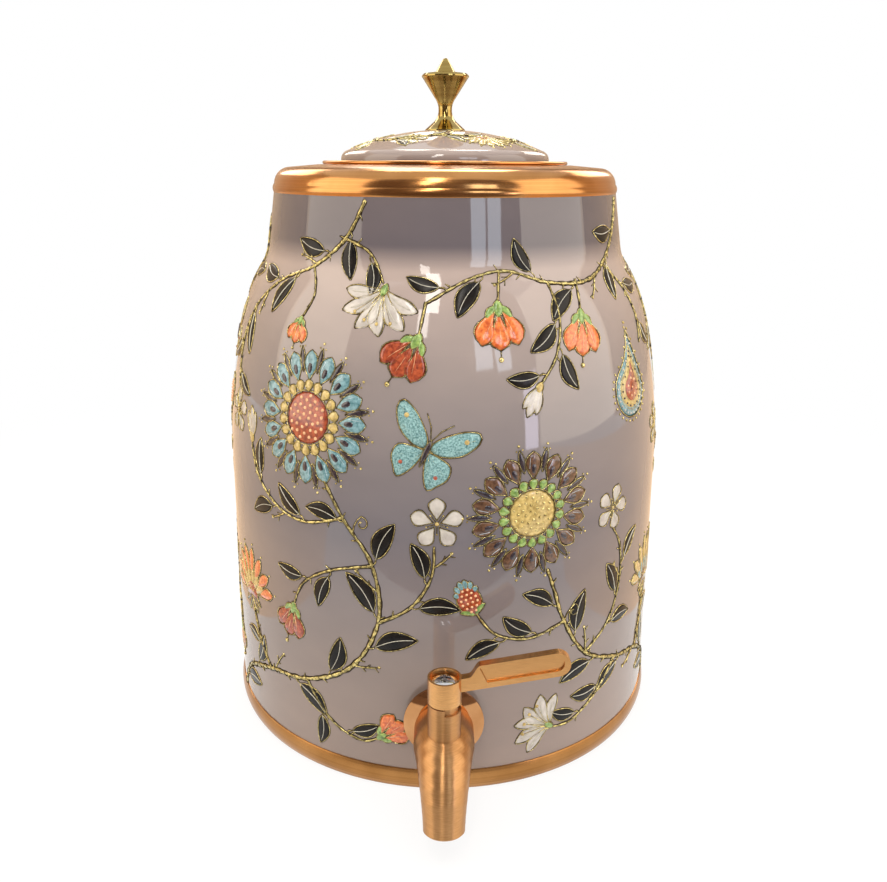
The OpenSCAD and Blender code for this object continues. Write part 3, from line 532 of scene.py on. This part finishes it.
def lotus(x, y, turn, r, outer, middle, core):
    """A flower in side view: rows of pointed petals that fan from a dark cup."""
    place = at(x, y, turn)
    for a in (-78, -56, -34, -12, 12, 34, 56, 78):
        s, c = aim(a)
        reach = r * (0.86 + 0.14 * c)
        blade(place, (r * 0.34 * s, r * 0.34 * c), (reach * s, reach * c), r * 0.23, outer,
              -0.05 if a < 0 else 0.05, 0.62, 0.45, DROP, 0.42)
        bead("gold", *place((reach + r * 0.07) * s, (reach + r * 0.07) * c), 0.6)
    for a in (-62, -38, -13, 13, 38, 62):
        s, c = aim(a)
        blade(place, (r * 0.16 * s, r * 0.16 * c), (r * 0.58 * s, r * 0.58 * c), r * 0.18,
              middle, 0, 0.6, 0.5, DROP, 0.36, 8)
    half = [place(r * 0.27 * s, r * 0.27 * c + r * 0.02)
            for s, c in map(aim, (100, 75, 50, 25, 0, -25, -50, -75, -100))]
    patch(core, half, 0.6)
    gold(half, 0.42)
    for a in (-50, -17, 17, 50):
        s, c = aim(a)
        for far in (0.12, 0.20):
            bead("gold", *place(r * far * s, r * far * c + r * 0.02), 0.45, 0.9)
    for a in (-118, -150, 150, 118):
        s, c = aim(a)
        blade(place, (0, 0), (r * 0.38 * s, r * 0.38 * c), r * 0.13, "dark_petal",
              0.1 if a > 0 else -0.1, 0.4, 0.4, DROP, 0.3, 7)


def bell(x, y, turn, size, petals):
    """A hanging bellflower: three smooth lobes, a green cap and a bead of gold at its mouth."""
    place = at(x, y, turn, size)
    blade(place, (0, 1.0), (0, 12.4), 6.2, petals, 0, 0.72, 0.40, DROP, 0.40)
    for side in (-1, 1):
        blade(place, (side * 0.6, 0.8), (side * 4.9, 11.0), 5.6, petals, side * -0.07, 0.68, 0.5,
              DROP, 0.40)
        sweep("peach", [place(side * 1.7, 3.6), place(side * 3.0, 6.4), place(side * 3.9, 8.8)],
              [0.16, 0.34, 0.12], 0.66, RIDGE)
        blade(place, (side * 0.3, 0.2), (side * 3.6, 3.9), 2.0, "green", side * -0.1, 0.5, 0.6,
              DROP, 0.32, 7)
    sweep("peach", [place(0, 6.0), place(0, 8.4), place(0, 10.6)], [0.14, 0.32, 0.12], 0.56, RIDGE)
    blade(place, (0, -1.6), (0, 3.4), 3.0, "green", 0, 0.5, 0.72, DROP, 0.34, 7)
    gold([place(0, 12.2), place(0, 14.2)], 0.4)
    bead("gold", *place(0, 14.8), 0.85 * size, 0.8)


def blossom(x, y, turn, size):
    """A white five-petalled blossom, so thin that the ground shows through."""
    place = at(x, y, turn, size)
    for k in range(5):
        s, c = aim(72 * k)
        blade(place, (1.2 * s, 1.2 * c), (9.0 * s, 9.0 * c), 5.6, "white", 0, 0.66, 0.3, VALLEY,
              0.3, 9)
        for off in (-0.16, 0.16):
            s, c = aim(72 * k + math.degrees(off))
            sweep("pale", [place(2.4 * s, 2.4 * c), place(6.2 * s, 6.2 * c)], [0.13, 0.06], 0.42,
                  RIDGE)
    for k in range(5):
        s, c = aim(72 * k + 36)
        gold([place(0, 0), place(3.4 * s, 3.4 * c)], 0.28)
        bead("gold", *place(3.6 * s, 3.6 * c), 0.42)
    bead("mustard", *place(0, 0), 0.95, 0.7)


def lily(x, y, turn, r):
    """A white lily in side view, with petals so thin that the ground shows through."""
    place = at(x, y, turn)
    for a, reach, wide in ((-72, 0.86, 0.30), (72, 0.86, 0.30), (-44, 0.98, 0.34),
                           (44, 0.98, 0.34), (-15, 1.0, 0.34), (15, 1.0, 0.34)):
        s, c = aim(a)
        spine = blade(place, (r * 0.06 * s, r * 0.06 * c), (r * reach * s, r * reach * c),
                      r * wide, "white", 0.10 if a > 0 else -0.10, 0.62, 0.35, VALLEY, 0.42, 11)
        sweep("pale", spine[1:-2], [0.22] * (len(spine) - 3), 0.5, RIDGE)
    for a in (-30, -10, 10, 30):
        s, c = aim(a)
        gold([place(0, r * 0.1), place(r * 0.35 * s, r * 0.4 * c),
              place(r * 0.75 * s, r * 0.72 * c)], 0.4, 0.3, 0.6)
        bead("mustard", *place(r * 0.78 * s, r * 0.75 * c), 0.9, 0.9)
    blade(place, (0, -r * 0.12), (0, r * 0.20), r * 0.17, "green", 0, 0.5, 0.6, DROP, 0.4, 7)


def seed_head(x, y, turn, size):
    """An oval head of seeds with a crown of small petals."""
    place = at(x, y, turn, size)
    for s, c in map(aim, (-60, -36, -12, 12, 36, 60)):
        blade(place, (3.4 * s, 7.5 + 4.4 * c), (5.6 * s, 7.5 + 9.4 * c), 2.4, "teal", 0, 0.6,
              0.45, DROP, 0.4, 7)
    oval = [place(5.0 * s, 7.0 + 7.0 * c) for s, c in map(aim, range(0, -360, -20))]
    patch("rust", oval, 0.5)
    rim(oval, 0.5)
    for row, wide in ((2.2, 2), (4.2, 3), (6.2, 4), (8.2, 4), (10.2, 3), (12.2, 2)):
        for k in range(wide):
            bead("peach", *place((k - (wide - 1) / 2) * 2.1, row), 0.72 * size, 0.95)
    for side in (-1, 1):
        blade(place, (0, 0), (side * 5.6, 3.4), 2.6, "green", side * 0.12, 0.5, 0.5, DROP, 0.4, 7)


def bud(x, y, turn, size):
    """A closed white bud in a gold cup."""
    place = at(x, y, turn, size)
    for tip, wide in (((-2.6, 9.5), 3.2), ((2.6, 9.5), 3.2), ((0, 11.5), 3.8)):
        blade(place, (0, 0.5), tip, wide, "white", 0, 0.55, 0.4, DROP, 0.32, 8)
    blade(place, (0, -1), (0, 3.2), 2.6, "mustard", 0, 0.5, 0.6, DROP, 0.3, 6)


def paisley(x, y, turn, size, mirror):
    """A curved drop with a beaded rim, filled with drops and rows of beads."""
    place = at(x, y, turn, size, mirror)

    def outline(scale, count=26):
        made = []
        for s, c in (aim(90 - 360 * k / count) for k in range(count)):
            r = 10.5 * scale
            px, py = r * s, r * c
            if c > 0:
                px = px * (1 - 0.80 * c ** 2) + 6.0 * scale * c ** 4
                py *= 1 + 0.85 * c ** 2
            made.append(place(px, py))
        return made if mirror > 0 else made[::-1]
    centre = place(0, 0)
    for scale, colour, height in ((1.0, "teal", 0.3), (0.74, "mustard", 0.5), (0.50, "rust", 0.7)):
        patch(colour, outline(scale), height, centre)
        rim(outline(scale), 0.42)
    bead("peach", *centre, 0.75, 1.0)
    for scale, count, colour, r, height in (
            (1.13, 30, "gold", 0.66, 0.45), (0.87, 26, "white", 0.6, 0.7),
            (0.62, 16, "dark_petal", 0.55, 0.85), (0.28, 8, "peach", 0.75, 1.0)):
        for px, py in outline(scale, count):
            bead(colour, px, py, r, height)


def butterfly(x, y, turn, size):
    """A butterfly with speckled wings and gold veins."""
    place = at(x, y, turn, size)
    upper = [(0.8, 0.5), (4.5, 0.2), (10.5, 3.0), (14.0, 8.5), (13.0, 11.5), (8.5, 10.2),
             (3.6, 6.4), (0.9, 3.0)]
    lower = [(0.8, 0.0), (0.9, -3.2), (2.6, -8.0), (5.2, -11.2), (7.2, -9.0), (9.4, -5.6),
             (8.8, -1.6), (4.5, -0.2)]
    for side in (-1, 1):
        for shape, tips in ((upper, ((13.0, 9.5), (10.6, 4.6), (8.4, 9.0))),
                            (lower, ((5.4, -9.6), (8.2, -5.0), (3.2, -7.0)))):
            closed = [place(side * px, py) for px, py in shape + shape[:1]]
            points = smooth_line(closed, 1.6 * size)[:-1][::side]
            patch("teal_speck", points, 0.35)
            rim(points, 0.45)
            for px, py in tips:
                gold([place(side * 1.2, py * 0.12), place(side * px * 0.95, py * 0.95)], 0.3)
        bead("mustard", *place(side * 10.2, 7.6), 1.0 * size, 0.8)
        bead("rust", *place(side * 5.9, -6.4), 0.85 * size, 0.8)
        gold([place(0, 3.2), place(side * 1.8, 7.5), place(side * 4.6, 10.8)], 0.32)
    blade(place, (0, -5.5), (0, 4.0), 1.9, "dark_petal", 0, 0.6, 0.9, DROP, 0.3, 8)


def offset(line, far):
    """The line moved sideways, to its left for a positive distance."""
    n, made = len(line), []
    for i, (x, y) in enumerate(line):
        (ax, ay), (bx, by) = line[max(i - 1, 0)], line[min(i + 1, n - 1)]
        length = math.hypot(bx - ax, by - ay) or 1.0
        made.append((x - (by - ay) / length * far[i], y + (bx - ax) / length * far[i]))
    return made


def vine(points, width=1.9, end=1.0, leaves=(), twigs=(), curls=(), thorns=True):
    """A knotted stem through given points: gold bark with dark strokes, between dark edges.

    Each leaf, twig and curl is its share of the way along, its side and its size.
    """
    line = smooth_line(points, 1.8)
    n = len(line)
    halves = [(width + (end - width) * i / (n - 1)) / 2
              * (1 + 0.20 * math.sin(i * 1.9) + 0.10 * math.sin(i * 0.7)) for i in range(n)]
    halves[-1] *= 0.6
    sweep("dark", line, [h + 0.32 for h in halves], 0.26, RIDGE)
    sweep("bark", line, [h * 0.84 for h in halves], 0.50, DROP)
    # A thin bright gold streak along one side of the stem is a painted highlight.
    painted_highlight_side = offset(line, [0.3 * h for h in halves])
    sweep("gold", painted_highlight_side, [0.2 * h for h in halves], 0.62, RIDGE)
    left, right = offset(line, [0.9 * h for h in halves]), offset(line, [-0.9 * h for h in halves])
    for i in range(1, n - 2, 2):
        a, b = (left, right) if i % 4 == 1 else (right, left)
        sweep("dark", [a[i], line[i], b[i + 1]], [0.10, 0.20, 0.10], 0.66, RIDGE)

    def along(share):
        """The point at a share of the way along, and the stem's heading there."""
        i = min(max(round(share * (n - 1)), 1), n - 2)
        (ax, ay), (bx, by) = line[i - 1], line[i + 1]
        return *line[i], math.degrees(math.atan2(bx - ax, by - ay))
    if thorns:
        for i in range(4, n - 3, 6):
            x, y, heading = along(i / (n - 1))
            place = at(x, y, heading + (58 if (i // 6) % 2 else -58))
            gold([place(0, 0), place(0, 1.6), place(0, 3.0)], 0.8, 0.25)
    for share, side, length in leaves:
        x, y, heading = along(share)
        foot = at(x, y, heading + side * 46)
        stalk = [foot(0, 0), foot(side * 0.5, 1.8), foot(0, 3.4)]
        gold(stalk, 0.75, 0.6)
        leaf(*stalk[-1], heading + side * 46, length, side)
    for share, side, length in twigs:
        x, y, heading = along(share)
        twig(x, y, heading + side * 52, length, -side)
    for share, side, size in curls:
        x, y, heading = along(share)
        curl(x, y, heading + side * 40, size, side)


# How far across the two halves of the drawing meet, and how far the shoulder's bells hang down.
SEAM = 153.9
HANG = 12


def wall_garden(flip):
    """One half of the jar's drawing; flip draws it mirrored, for the back."""
    half_way = math.pi * WALL_R
    turned = -1 if flip else 1
    first, second = ("olive", "teal") if flip else ("teal", "brown")

    def spot(x, y, turn=0):
        return (half_way - x) if flip else x, y, turned * turn

    def stem(points, width=1.9, end=1.0, leaves=(), twigs=(), curls=(), thorns=True):
        vine([spot(x, y)[:2] for x, y in points], width, end,
             *([(share, side * turned, size) for share, side, size in group]
               for group in (leaves, twigs, curls)), thorns)

    # Left: from the foot up to the first rosette
    stem([(-120, 6), (-108, 24), (-84, 35), (-60, 40), (-38, 52), (-26, 74), (-28, 98),
          (-40, 116), (-48, 130)], 2.4, 1.3,
         leaves=((0.08, 1, 17), (0.19, -1, 16), (0.36, 1, 18), (0.47, -1, 17), (0.60, 1, 18),
                 (0.68, -1, 19), (0.80, 1, 17), (0.90, -1, 15)),
         twigs=((0.28, -1, 12), (0.54, 1, 11), (0.74, -1, 12)), curls=((0.87, 1, 8),))
    rosette(*spot(-57, 153), 26.5, first, "mustard", "rust", "peach", 16)
    stem([(-84, 35), (-93, 48), (-98, 60)], 1.5, 1.0, leaves=((0.4, -1, 13),))
    lotus(*spot(-99, 64, -8), 23, "orange", "mustard", "rust")
    stem([(-60, 40), (-48, 25), (-34, 19), (-26, 22)], 1.4, 0.8,
         leaves=((0.35, 1, 14), (0.62, -1, 13)))
    bell(*spot(-26, 22, 52), 1.1, "orange")
    stem([(-26, 74), (-13, 82), (-5, 95), (-4, 108)], 1.4, 0.8,
         leaves=((0.35, 1, 16), (0.62, -1, 15)), twigs=((0.8, 1, 9),))
    blossom(*spot(-3, 117), 1.15)
    stem([(-40, 116), (-58, 111), (-74, 114), (-87, 124), (-92, 136)], 1.4, 0.8,
         leaves=((0.30, 1, 16), (0.55, -1, 16), (0.74, 1, 15)), twigs=((0.45, -1, 9),))
    bud(*spot(-92, 137, -6), 1.25)
    stem([(-28, 98), (-46, 93), (-60, 84), (-66, 72)], 1.3, 0.8,
         leaves=((0.40, -1, 15), (0.66, 1, 14)))
    bell(*spot(-66, 72, 196), 1.25, "rust")

    # Middle and right: from the right edge to the second rosette and the second lotus
    stem([(132, 6), (122, 24), (104, 36), (82, 42), (62, 52), (50, 70), (45, 84), (41, 95)],
         2.4, 1.3,
         leaves=((0.10, -1, 16), (0.22, 1, 17), (0.44, -1, 17), (0.58, -1, 17), (0.72, 1, 18),
                 (0.86, -1, 15)),
         twigs=((0.33, -1, 11), (0.64, 1, 12)), curls=((0.80, 1, 8),))
    rosette(*spot(34, 119), 25, second, "green", "mustard", "gold", 14)
    stem([(104, 36), (109, 50), (112, 62)], 1.5, 1.0, leaves=((0.45, 1, 13),))
    lotus(*spot(113, 66, 8), 22, "mustard", "teal", "brown")
    stem([(82, 42), (70, 30), (56, 22), (46, 22)], 1.5, 0.9,
         leaves=((0.30, 1, 15), (0.62, 1, 13)))
    lily(*spot(45, 23, -62), 17)
    stem([(62, 52), (76, 62), (83, 78), (82, 94), (76, 104)], 1.4, 0.8,
         leaves=((0.26, 1, 15), (0.46, -1, 16), (0.70, 1, 15)), twigs=((0.60, -1, 9),))
    blossom(*spot(75, 113, 20), 1.1)
    stem([(50, 70), (34, 66), (20, 70), (12, 80)], 1.3, 0.8,
         leaves=((0.30, 1, 15), (0.60, -1, 15)))
    seed_head(*spot(12, 79, -22), 0.95)

    # Neck and right shoulder: a hanging branch with three bells and a paisley
    stem([(118, 236), (106, 222), (90, 211), (70, 205), (48, 206), (28, 211), (10, 208),
          (-8, 199)], 2.0, 1.0,
         leaves=((0.12, 1, 15), (0.24, -1, 15), (0.48, -1, 16), (0.62, 1, 14), (0.80, -1, 16),
                 (0.92, 1, 13)),
         twigs=((0.36, -1, 10), (0.70, -1, 9)))
    for x, y, turn, petals in ((64, 205, 188, "orange"), (24, 210, 180, "orange"),
                               (-9, 198, 212, "rust")):
        stem([(x + 0.6, y + 1.4), (x - 1, y - 7), (x - 2, y - HANG)], 1.1, 0.8, thorns=False)
        bell(*spot(x - 2, y - HANG, turn), 1.35, petals)
    stem([(90, 211), (101, 200), (106, 188), (104, 176)], 1.3, 0.8,
         leaves=((0.35, -1, 15), (0.75, -1, 14)))
    paisley(*spot(90, 160, 18), 1.15, -turned)
    stem([(48, 206), (50, 192), (46, 178), (38, 168)], 1.2, 0.8,
         leaves=((0.35, 1, 15), (0.60, -1, 15), (0.85, 1, 13)))
    bud(*spot(38, 168, 208), 1.15)

    # Left shoulder: a second hanging branch, with a lily and a butterfly
    stem([(-40, 236), (-50, 222), (-68, 211), (-88, 204), (-105, 191), (-113, 173),
          (-110, 156)], 2.0, 1.0,
         leaves=((0.12, -1, 15), (0.24, 1, 15), (0.40, -1, 17), (0.52, 1, 16), (0.68, -1, 17),
                 (0.82, 1, 15), (0.92, -1, 14)),
         twigs=((0.32, 1, 10), (0.60, -1, 10)))
    blossom(*spot(-109, 146), 1.1)
    stem([(-68, 211), (-62, 200), (-66, 190)], 1.1, 0.8, thorns=False)
    bell(*spot(-66, 190, 190), 0.8, "orange")
    stem([(-50, 222), (-36, 217), (-28, 206)], 1.3, 0.8, leaves=((0.5, 1, 13),))
    lily(*spot(-27, 204, 196), 18)
    butterfly(*spot(-7, 145, 24), 1.2)

    # Left seam: a climbing stem that meets its mirror image
    stem([(-SEAM, 12), (-145, 34), (-137, 58), (-140, 84), (-147, 104), (-142, 126),
          (-133, 142)],
         leaves=((0.12, 1, 15), (0.24, -1, 15), (0.40, 1, 15), (0.52, -1, 14), (0.66, 1, 16),
                 (0.80, 1, 15)),
         twigs=((0.32, 1, 9), (0.72, -1, 9)))
    seed_head(*spot(-132, 143, 24), 1.0)
    stem([(-137, 58), (-126, 48), (-124, 38)], 1.2, 0.8, thorns=False)
    bell(*spot(-124, 38, 168), 1.05, "rust")
    stem([(-SEAM, 186), (-142, 196), (-132, 210), (-130, 224)], 1.6, 0.9,
         leaves=((0.25, -1, 14), (0.50, 1, 15), (0.78, -1, 14)))
    butterfly(*spot(-134, 176, -30), 0.95)

    # Right seam
    stem([(SEAM, 26), (147, 50), (141, 76), (145, 100), (139, 120), (128, 132)],
         leaves=((0.14, -1, 15), (0.28, 1, 14), (0.44, -1, 15), (0.58, 1, 14), (0.74, -1, 15),
                 (0.88, 1, 13)),
         twigs=((0.36, 1, 9), (0.66, -1, 9)))
    blossom(*spot(120, 138), 1.05)
    stem([(SEAM, 214), (142, 204), (134, 190), (134, 174), (142, 160)], 1.6, 0.9,
         leaves=((0.22, 1, 15), (0.42, -1, 15), (0.62, 1, 15), (0.82, -1, 14)))
    bell(*spot(142, 160, 150), 1.2, "orange")


def toned(name, dark, light, scale, low=0.35, high=0.65):
    """A finish whose colour wavers between a dark and a light tone, in patches."""
    material, tree, shader = finish(name)
    tone = noise(tree, stretched(tree), scale)
    tree.links.new(ramp(tree, tone, (low, dark), (high, light)), shader.inputs["Base Color"])
    return material, shader


def enamel(name, dark, light, scale=700.0, rough=0.16, alpha=1.0, coat=0.7, shine=0.5):
    """Glossy enamel that pools from a dark to a light tone."""
    material, shader = toned(name, dark, light, scale, 0.32, 0.68)
    shader.inputs["Roughness"].default_value = rough
    shader.inputs["Coat Weight"].default_value = coat
    shader.inputs["Coat Roughness"].default_value = 0.06
    shader.inputs["Specular IOR Level"].default_value = shine
    shader.inputs["Alpha"].default_value = alpha
    return material


def gilt(name, dark, light, rough, metal, scale):
    """Metal paint that goes from dark to light in small patches, a painted glint broken up along
    each line.
    """
    material, shader = toned(name, dark, light, scale, 0.34, 0.64)
    shader.inputs["Metallic"].default_value = metal
    shader.inputs["Roughness"].default_value = rough
    return material


paints = {
    # The gold lines and the gilt bark go from dark to light in small patches: painted glints.
    "gold": gilt("gold line", (0.26, 0.19, 0.05), (0.90, 0.78, 0.36), 0.18, 0.75, 800.0),
    "bark": gilt("gilt bark", (0.13, 0.095, 0.025), (0.78, 0.66, 0.26), 0.24, 0.6, 700.0),
    "dark": enamel("dark line", (0.012, 0.008, 0.005), (0.035, 0.022, 0.012), 300.0,
                   rough=0.35, coat=0.0, shine=0.25),
    "leaf": enamel("leaf enamel", (0.004, 0.004, 0.004), (0.014, 0.011, 0.009), 240.0,
                   rough=0.26, coat=0.0, shine=0.22),
    "pale": enamel("rib enamel", (0.40, 0.38, 0.30), (0.62, 0.60, 0.50), 500.0, rough=0.3),
    "teal": enamel("teal enamel", (0.055, 0.15, 0.17), (0.22, 0.38, 0.42)),
    "teal_speck": enamel("speckled teal enamel", (0.05, 0.14, 0.15), (0.30, 0.50, 0.50), 1500.0),
    # shine is a painted highlight: the pale stroke on one side of each rosette petal.
    "shine": enamel("painted petal highlight", (0.50, 0.60, 0.66), (0.70, 0.78, 0.82)),
    "olive": enamel("olive enamel", (0.16, 0.13, 0.04), (0.40, 0.33, 0.10)),
    "brown": enamel("brown enamel", (0.045, 0.022, 0.012), (0.15, 0.075, 0.04)),
    "dark_petal": enamel("ink enamel", (0.010, 0.010, 0.016), (0.045, 0.030, 0.035)),
    "mustard": enamel("mustard enamel", (0.30, 0.21, 0.06), (0.62, 0.47, 0.17)),
    "rust": enamel("rust enamel", (0.14, 0.018, 0.010), (0.42, 0.085, 0.03)),
    "orange": enamel("orange enamel", (0.42, 0.07, 0.018), (0.75, 0.22, 0.05)),
    "green": enamel("green enamel", (0.08, 0.16, 0.035), (0.30, 0.44, 0.12)),
    "peach": enamel("peach enamel", (0.62, 0.30, 0.14), (0.80, 0.52, 0.28)),
    "white": enamel("white enamel", (0.50, 0.46, 0.42), (0.74, 0.70, 0.64), 200.0,
                    rough=0.2, alpha=0.72),
}


def lay(prefix, body):
    """Makes one piece of each colour drawn so far, all on one body."""
    for colour, (points, faces) in drawing.items():
        mesh = bpy.data.meshes.new(f"{prefix}_{colour}")
        mesh.from_pydata(points, [], faces)
        mesh.shade_smooth()
        mesh.materials.append(paints[colour])
        piece = bpy.data.objects.new(f"{prefix}_{colour}", mesh)
        bpy.context.scene.collection.objects.link(piece)
        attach(piece, body)
    drawing.clear()


wall_garden(False)
wall_garden(True)
lay("flowers", "jar")


# Foot band, bottom plate and collar.
# Copper, spun and brushed on the lathe, so that fine lines run round it, then lacquered. The
# collar is polished a little brighter than the band, and the bottom is left bare.
def grain(tree, shader, outward, axis, amount):
    """Fine lines round an axis, which draw each highlight out across them."""
    round_it = node(tree, "ShaderNodeVectorMath", operation="CROSS_PRODUCT")
    tree.links.new(outward, round_it.inputs[0])
    round_it.inputs[1].default_value = axis
    tree.links.new(round_it.outputs["Vector"], shader.inputs["Tangent"])
    shader.inputs["Anisotropic"].default_value = amount
    shader.inputs["Anisotropic Rotation"].default_value = 0.25


def spun(name, dark, light, rough, lines=1800.0, drawn=0.35):
    """Metal turned on a lathe about the jar's axis: fine lines run round it."""
    material, tree, shader = finish(name)
    place = node(tree, "ShaderNodeTexCoord")
    parts = node(tree, "ShaderNodeSeparateXYZ")
    tree.links.new(place.outputs["Object"], parts.inputs["Vector"])
    flat = node(tree, "ShaderNodeCombineXYZ")
    tree.links.new(parts.outputs["X"], flat.inputs["X"])
    tree.links.new(parts.outputs["Y"], flat.inputs["Y"])
    radius = node(tree, "ShaderNodeVectorMath", operation="LENGTH")
    tree.links.new(flat.outputs["Vector"], radius.inputs[0])
    turned = node(tree, "ShaderNodeCombineXYZ")
    tree.links.new(radius.outputs["Value"], turned.inputs["X"])
    tree.links.new(parts.outputs["Z"], turned.inputs["Y"])
    lathe = noise(tree, turned.outputs["Vector"], lines, 2.0)
    cloud = noise(tree, place.outputs["Object"], 40.0)
    both = node(tree, "ShaderNodeMath", operation="MULTIPLY_ADD")
    both.inputs[1].default_value = 0.45
    tree.links.new(lathe, both.inputs[0])
    share = node(tree, "ShaderNodeMath", operation="MULTIPLY")
    share.inputs[1].default_value = 0.55
    tree.links.new(cloud, share.inputs[0])
    tree.links.new(share.outputs["Value"], both.inputs[2])
    tree.links.new(ramp(tree, both.outputs["Value"], (0.38, dark), (0.62, light)),
                   shader.inputs["Base Color"])
    shader.inputs["Metallic"].default_value = 1.0
    shader.inputs["Roughness"].default_value = rough
    bump(tree, shader, lathe, 0.06, 0.0003)
    grain(tree, shader, flat.outputs["Vector"], (0, 0, 1), drawn)
    return material


satin_copper = spun("satin copper", (0.35, 0.158, 0.045), (0.50, 0.245, 0.082), 0.25)
bright_copper = spun("bright copper", (0.44, 0.20, 0.062), (0.58, 0.29, 0.105), 0.19)
wear("foot_band", satin_copper)
wear("rim_collar", bright_copper)
wear("base_plate", spun("bare copper", (0.33, 0.155, 0.060), (0.50, 0.25, 0.11), 0.42))

# Lid.
# A copper flange with a skirt below, which centres it in the collar, and an enamelled dome on
# top, with a wreath of small flowers round the knob. It lies loose and lifts off. DOME_Z is the
# height of the middle of the dome's curve.
DOME_R = 108.0
DOME_Z = 151.067
WREATH_R, WREATH_WAVE = 29.0, 4.0
WREATH_START = 62
wear("lid_flange", bright_copper)
wear("lid_skirt", satin_copper)
wear("lid_dome", ground)


def on_dome(across, up, lift):
    """A point of the lid's flat drawing, wrapped on the dome round its top."""
    slope = math.hypot(across, up) / DOME_R
    turn = math.atan2(up, across)
    r = (DOME_R + lift) * math.sin(slope)
    z = DOME_Z + (DOME_R + lift) * math.cos(slope)
    return r * math.cos(turn) * MM, r * math.sin(turn) * MM, z * MM


def round_lid(far, degrees):
    """A place on the lid's drawing, by its distance and direction from the middle."""
    return far * math.cos(math.radians(degrees)), far * math.sin(math.radians(degrees))


surface[0] = on_dome
for k, petals in enumerate(("orange", "teal", "mustard")):
    start = 120 * k + WREATH_START
    vine([round_lid(WREATH_R + WREATH_WAVE * math.sin(math.radians(3 * d)), start + d)
          for d in range(8, 117, 12)], 1.3, 0.8,
         leaves=((0.14, 1, 10), (0.30, -1, 9), (0.42, 1, 10), (0.66, -1, 9), (0.76, 1, 10),
                 (0.90, -1, 8)), thorns=False)
    lotus(*round_lid(28.0, start), 90 - start, 12.5, petals, "mustard", "rust")
    blossom(*round_lid(31.0, start + 62), 30 * k, 0.74)
lay("lid_flowers", "lid")

# Knob.
# Brass, turned to a waisted stem, a flared disc and a sharp tip, and polished. A stud holds
# it to the dome.
wear("lid_knob", spun("polished brass", (0.30, 0.195, 0.055), (0.50, 0.395, 0.135), 0.13, 500.0))


# Fixings.
# Stud, washers, nut and spring ring of plain steel, the shank's nut and the valve's plug of
# yellow brass, rubber gaskets and O-rings, and a nylon slip washer. The nuts draw the knob
# and the tap tight from inside.
def plain(name, dark, light, metallic, rough):
    """A finish that is even but for faint patches."""
    material, shader = toned(name, dark, light, 420.0)
    shader.inputs["Metallic"].default_value = metallic
    shader.inputs["Roughness"].default_value = rough
    return material


YELLOW_BRASS = (0.48, 0.33, 0.11), (0.62, 0.45, 0.18)
steel = plain("steel", (0.36, 0.36, 0.37), (0.52, 0.52, 0.53), 1.0, 0.34)
for name in ("knob_stud", "knob_washer", "knob_nut", "shank_washer", "plug_ring", "screw_washer"):
    wear(name, steel)
wear("shank_nut", plain("yellow brass", *YELLOW_BRASS, 1.0, 0.38))
wear("valve_plug", plain("yellow brass plug", *YELLOW_BRASS, 1.0, 0.30))
rubber = plain("rubber", (0.010, 0.010, 0.010), (0.022, 0.021, 0.020), 0.0, 0.6)
for name in ("outer_gasket", "inner_gasket", "plug_seals"):
    wear(name, rubber)
wear("slip_washer", plain("nylon", (0.62, 0.60, 0.54), (0.70, 0.68, 0.62), 0.0, 0.5))


# Tap.
# Cast brass plated with copper and brushed, so that it is softer than the collar. The flange
# on the jar is polished, and the screw in the cap is chromed.
def brushed(name, dark, light, rough, axis, drawn):
    """Plated metal, brushed round an axis."""
    material, tree, shader = finish(name)
    marks = noise(tree, stretched(tree, (0.06, 0.06, 1.0)), 5200.0, 1.0)
    cloud = noise(tree, stretched(tree), 55.0)
    both = node(tree, "ShaderNodeMath", operation="ADD")
    tree.links.new(marks, both.inputs[0])
    tree.links.new(cloud, both.inputs[1])
    half = node(tree, "ShaderNodeMath", operation="MULTIPLY")
    half.inputs[1].default_value = 0.5
    tree.links.new(both.outputs["Value"], half.inputs[0])
    tree.links.new(ramp(tree, half.outputs["Value"], (0.38, dark), (0.62, light)),
                   shader.inputs["Base Color"])
    shader.inputs["Metallic"].default_value = 1.0
    shader.inputs["Roughness"].default_value = rough
    bump(tree, shader, marks, 0.05, 0.0003)
    grain(tree, shader, node(tree, "ShaderNodeNewGeometry").outputs["Normal"], axis, drawn)
    return material


SPOUT_AXIS = (0, -0.2, -0.98)
LEVER_AXIS = (0.02, 0.05, 1)
wear("tap_body", brushed("brushed copper", (0.47, 0.245, 0.095), (0.60, 0.325, 0.14), 0.38,
                         SPOUT_AXIS, 0.95))
wear("lever_cap", brushed("lever copper", (0.62, 0.325, 0.12), (0.76, 0.42, 0.165), 0.27,
                          LEVER_AXIS, 0.8))
rose_copper, shader = toned("polished copper", (0.52, 0.25, 0.10), (0.66, 0.35, 0.16), 60.0)
shader.inputs["Metallic"].default_value = 1.0
shader.inputs["Roughness"].default_value = 0.07
wear("tap_rose", rose_copper)
wear("lever_screw", plain("chrome", (0.55, 0.56, 0.58), (0.70, 0.71, 0.73), 1.0, 0.10))
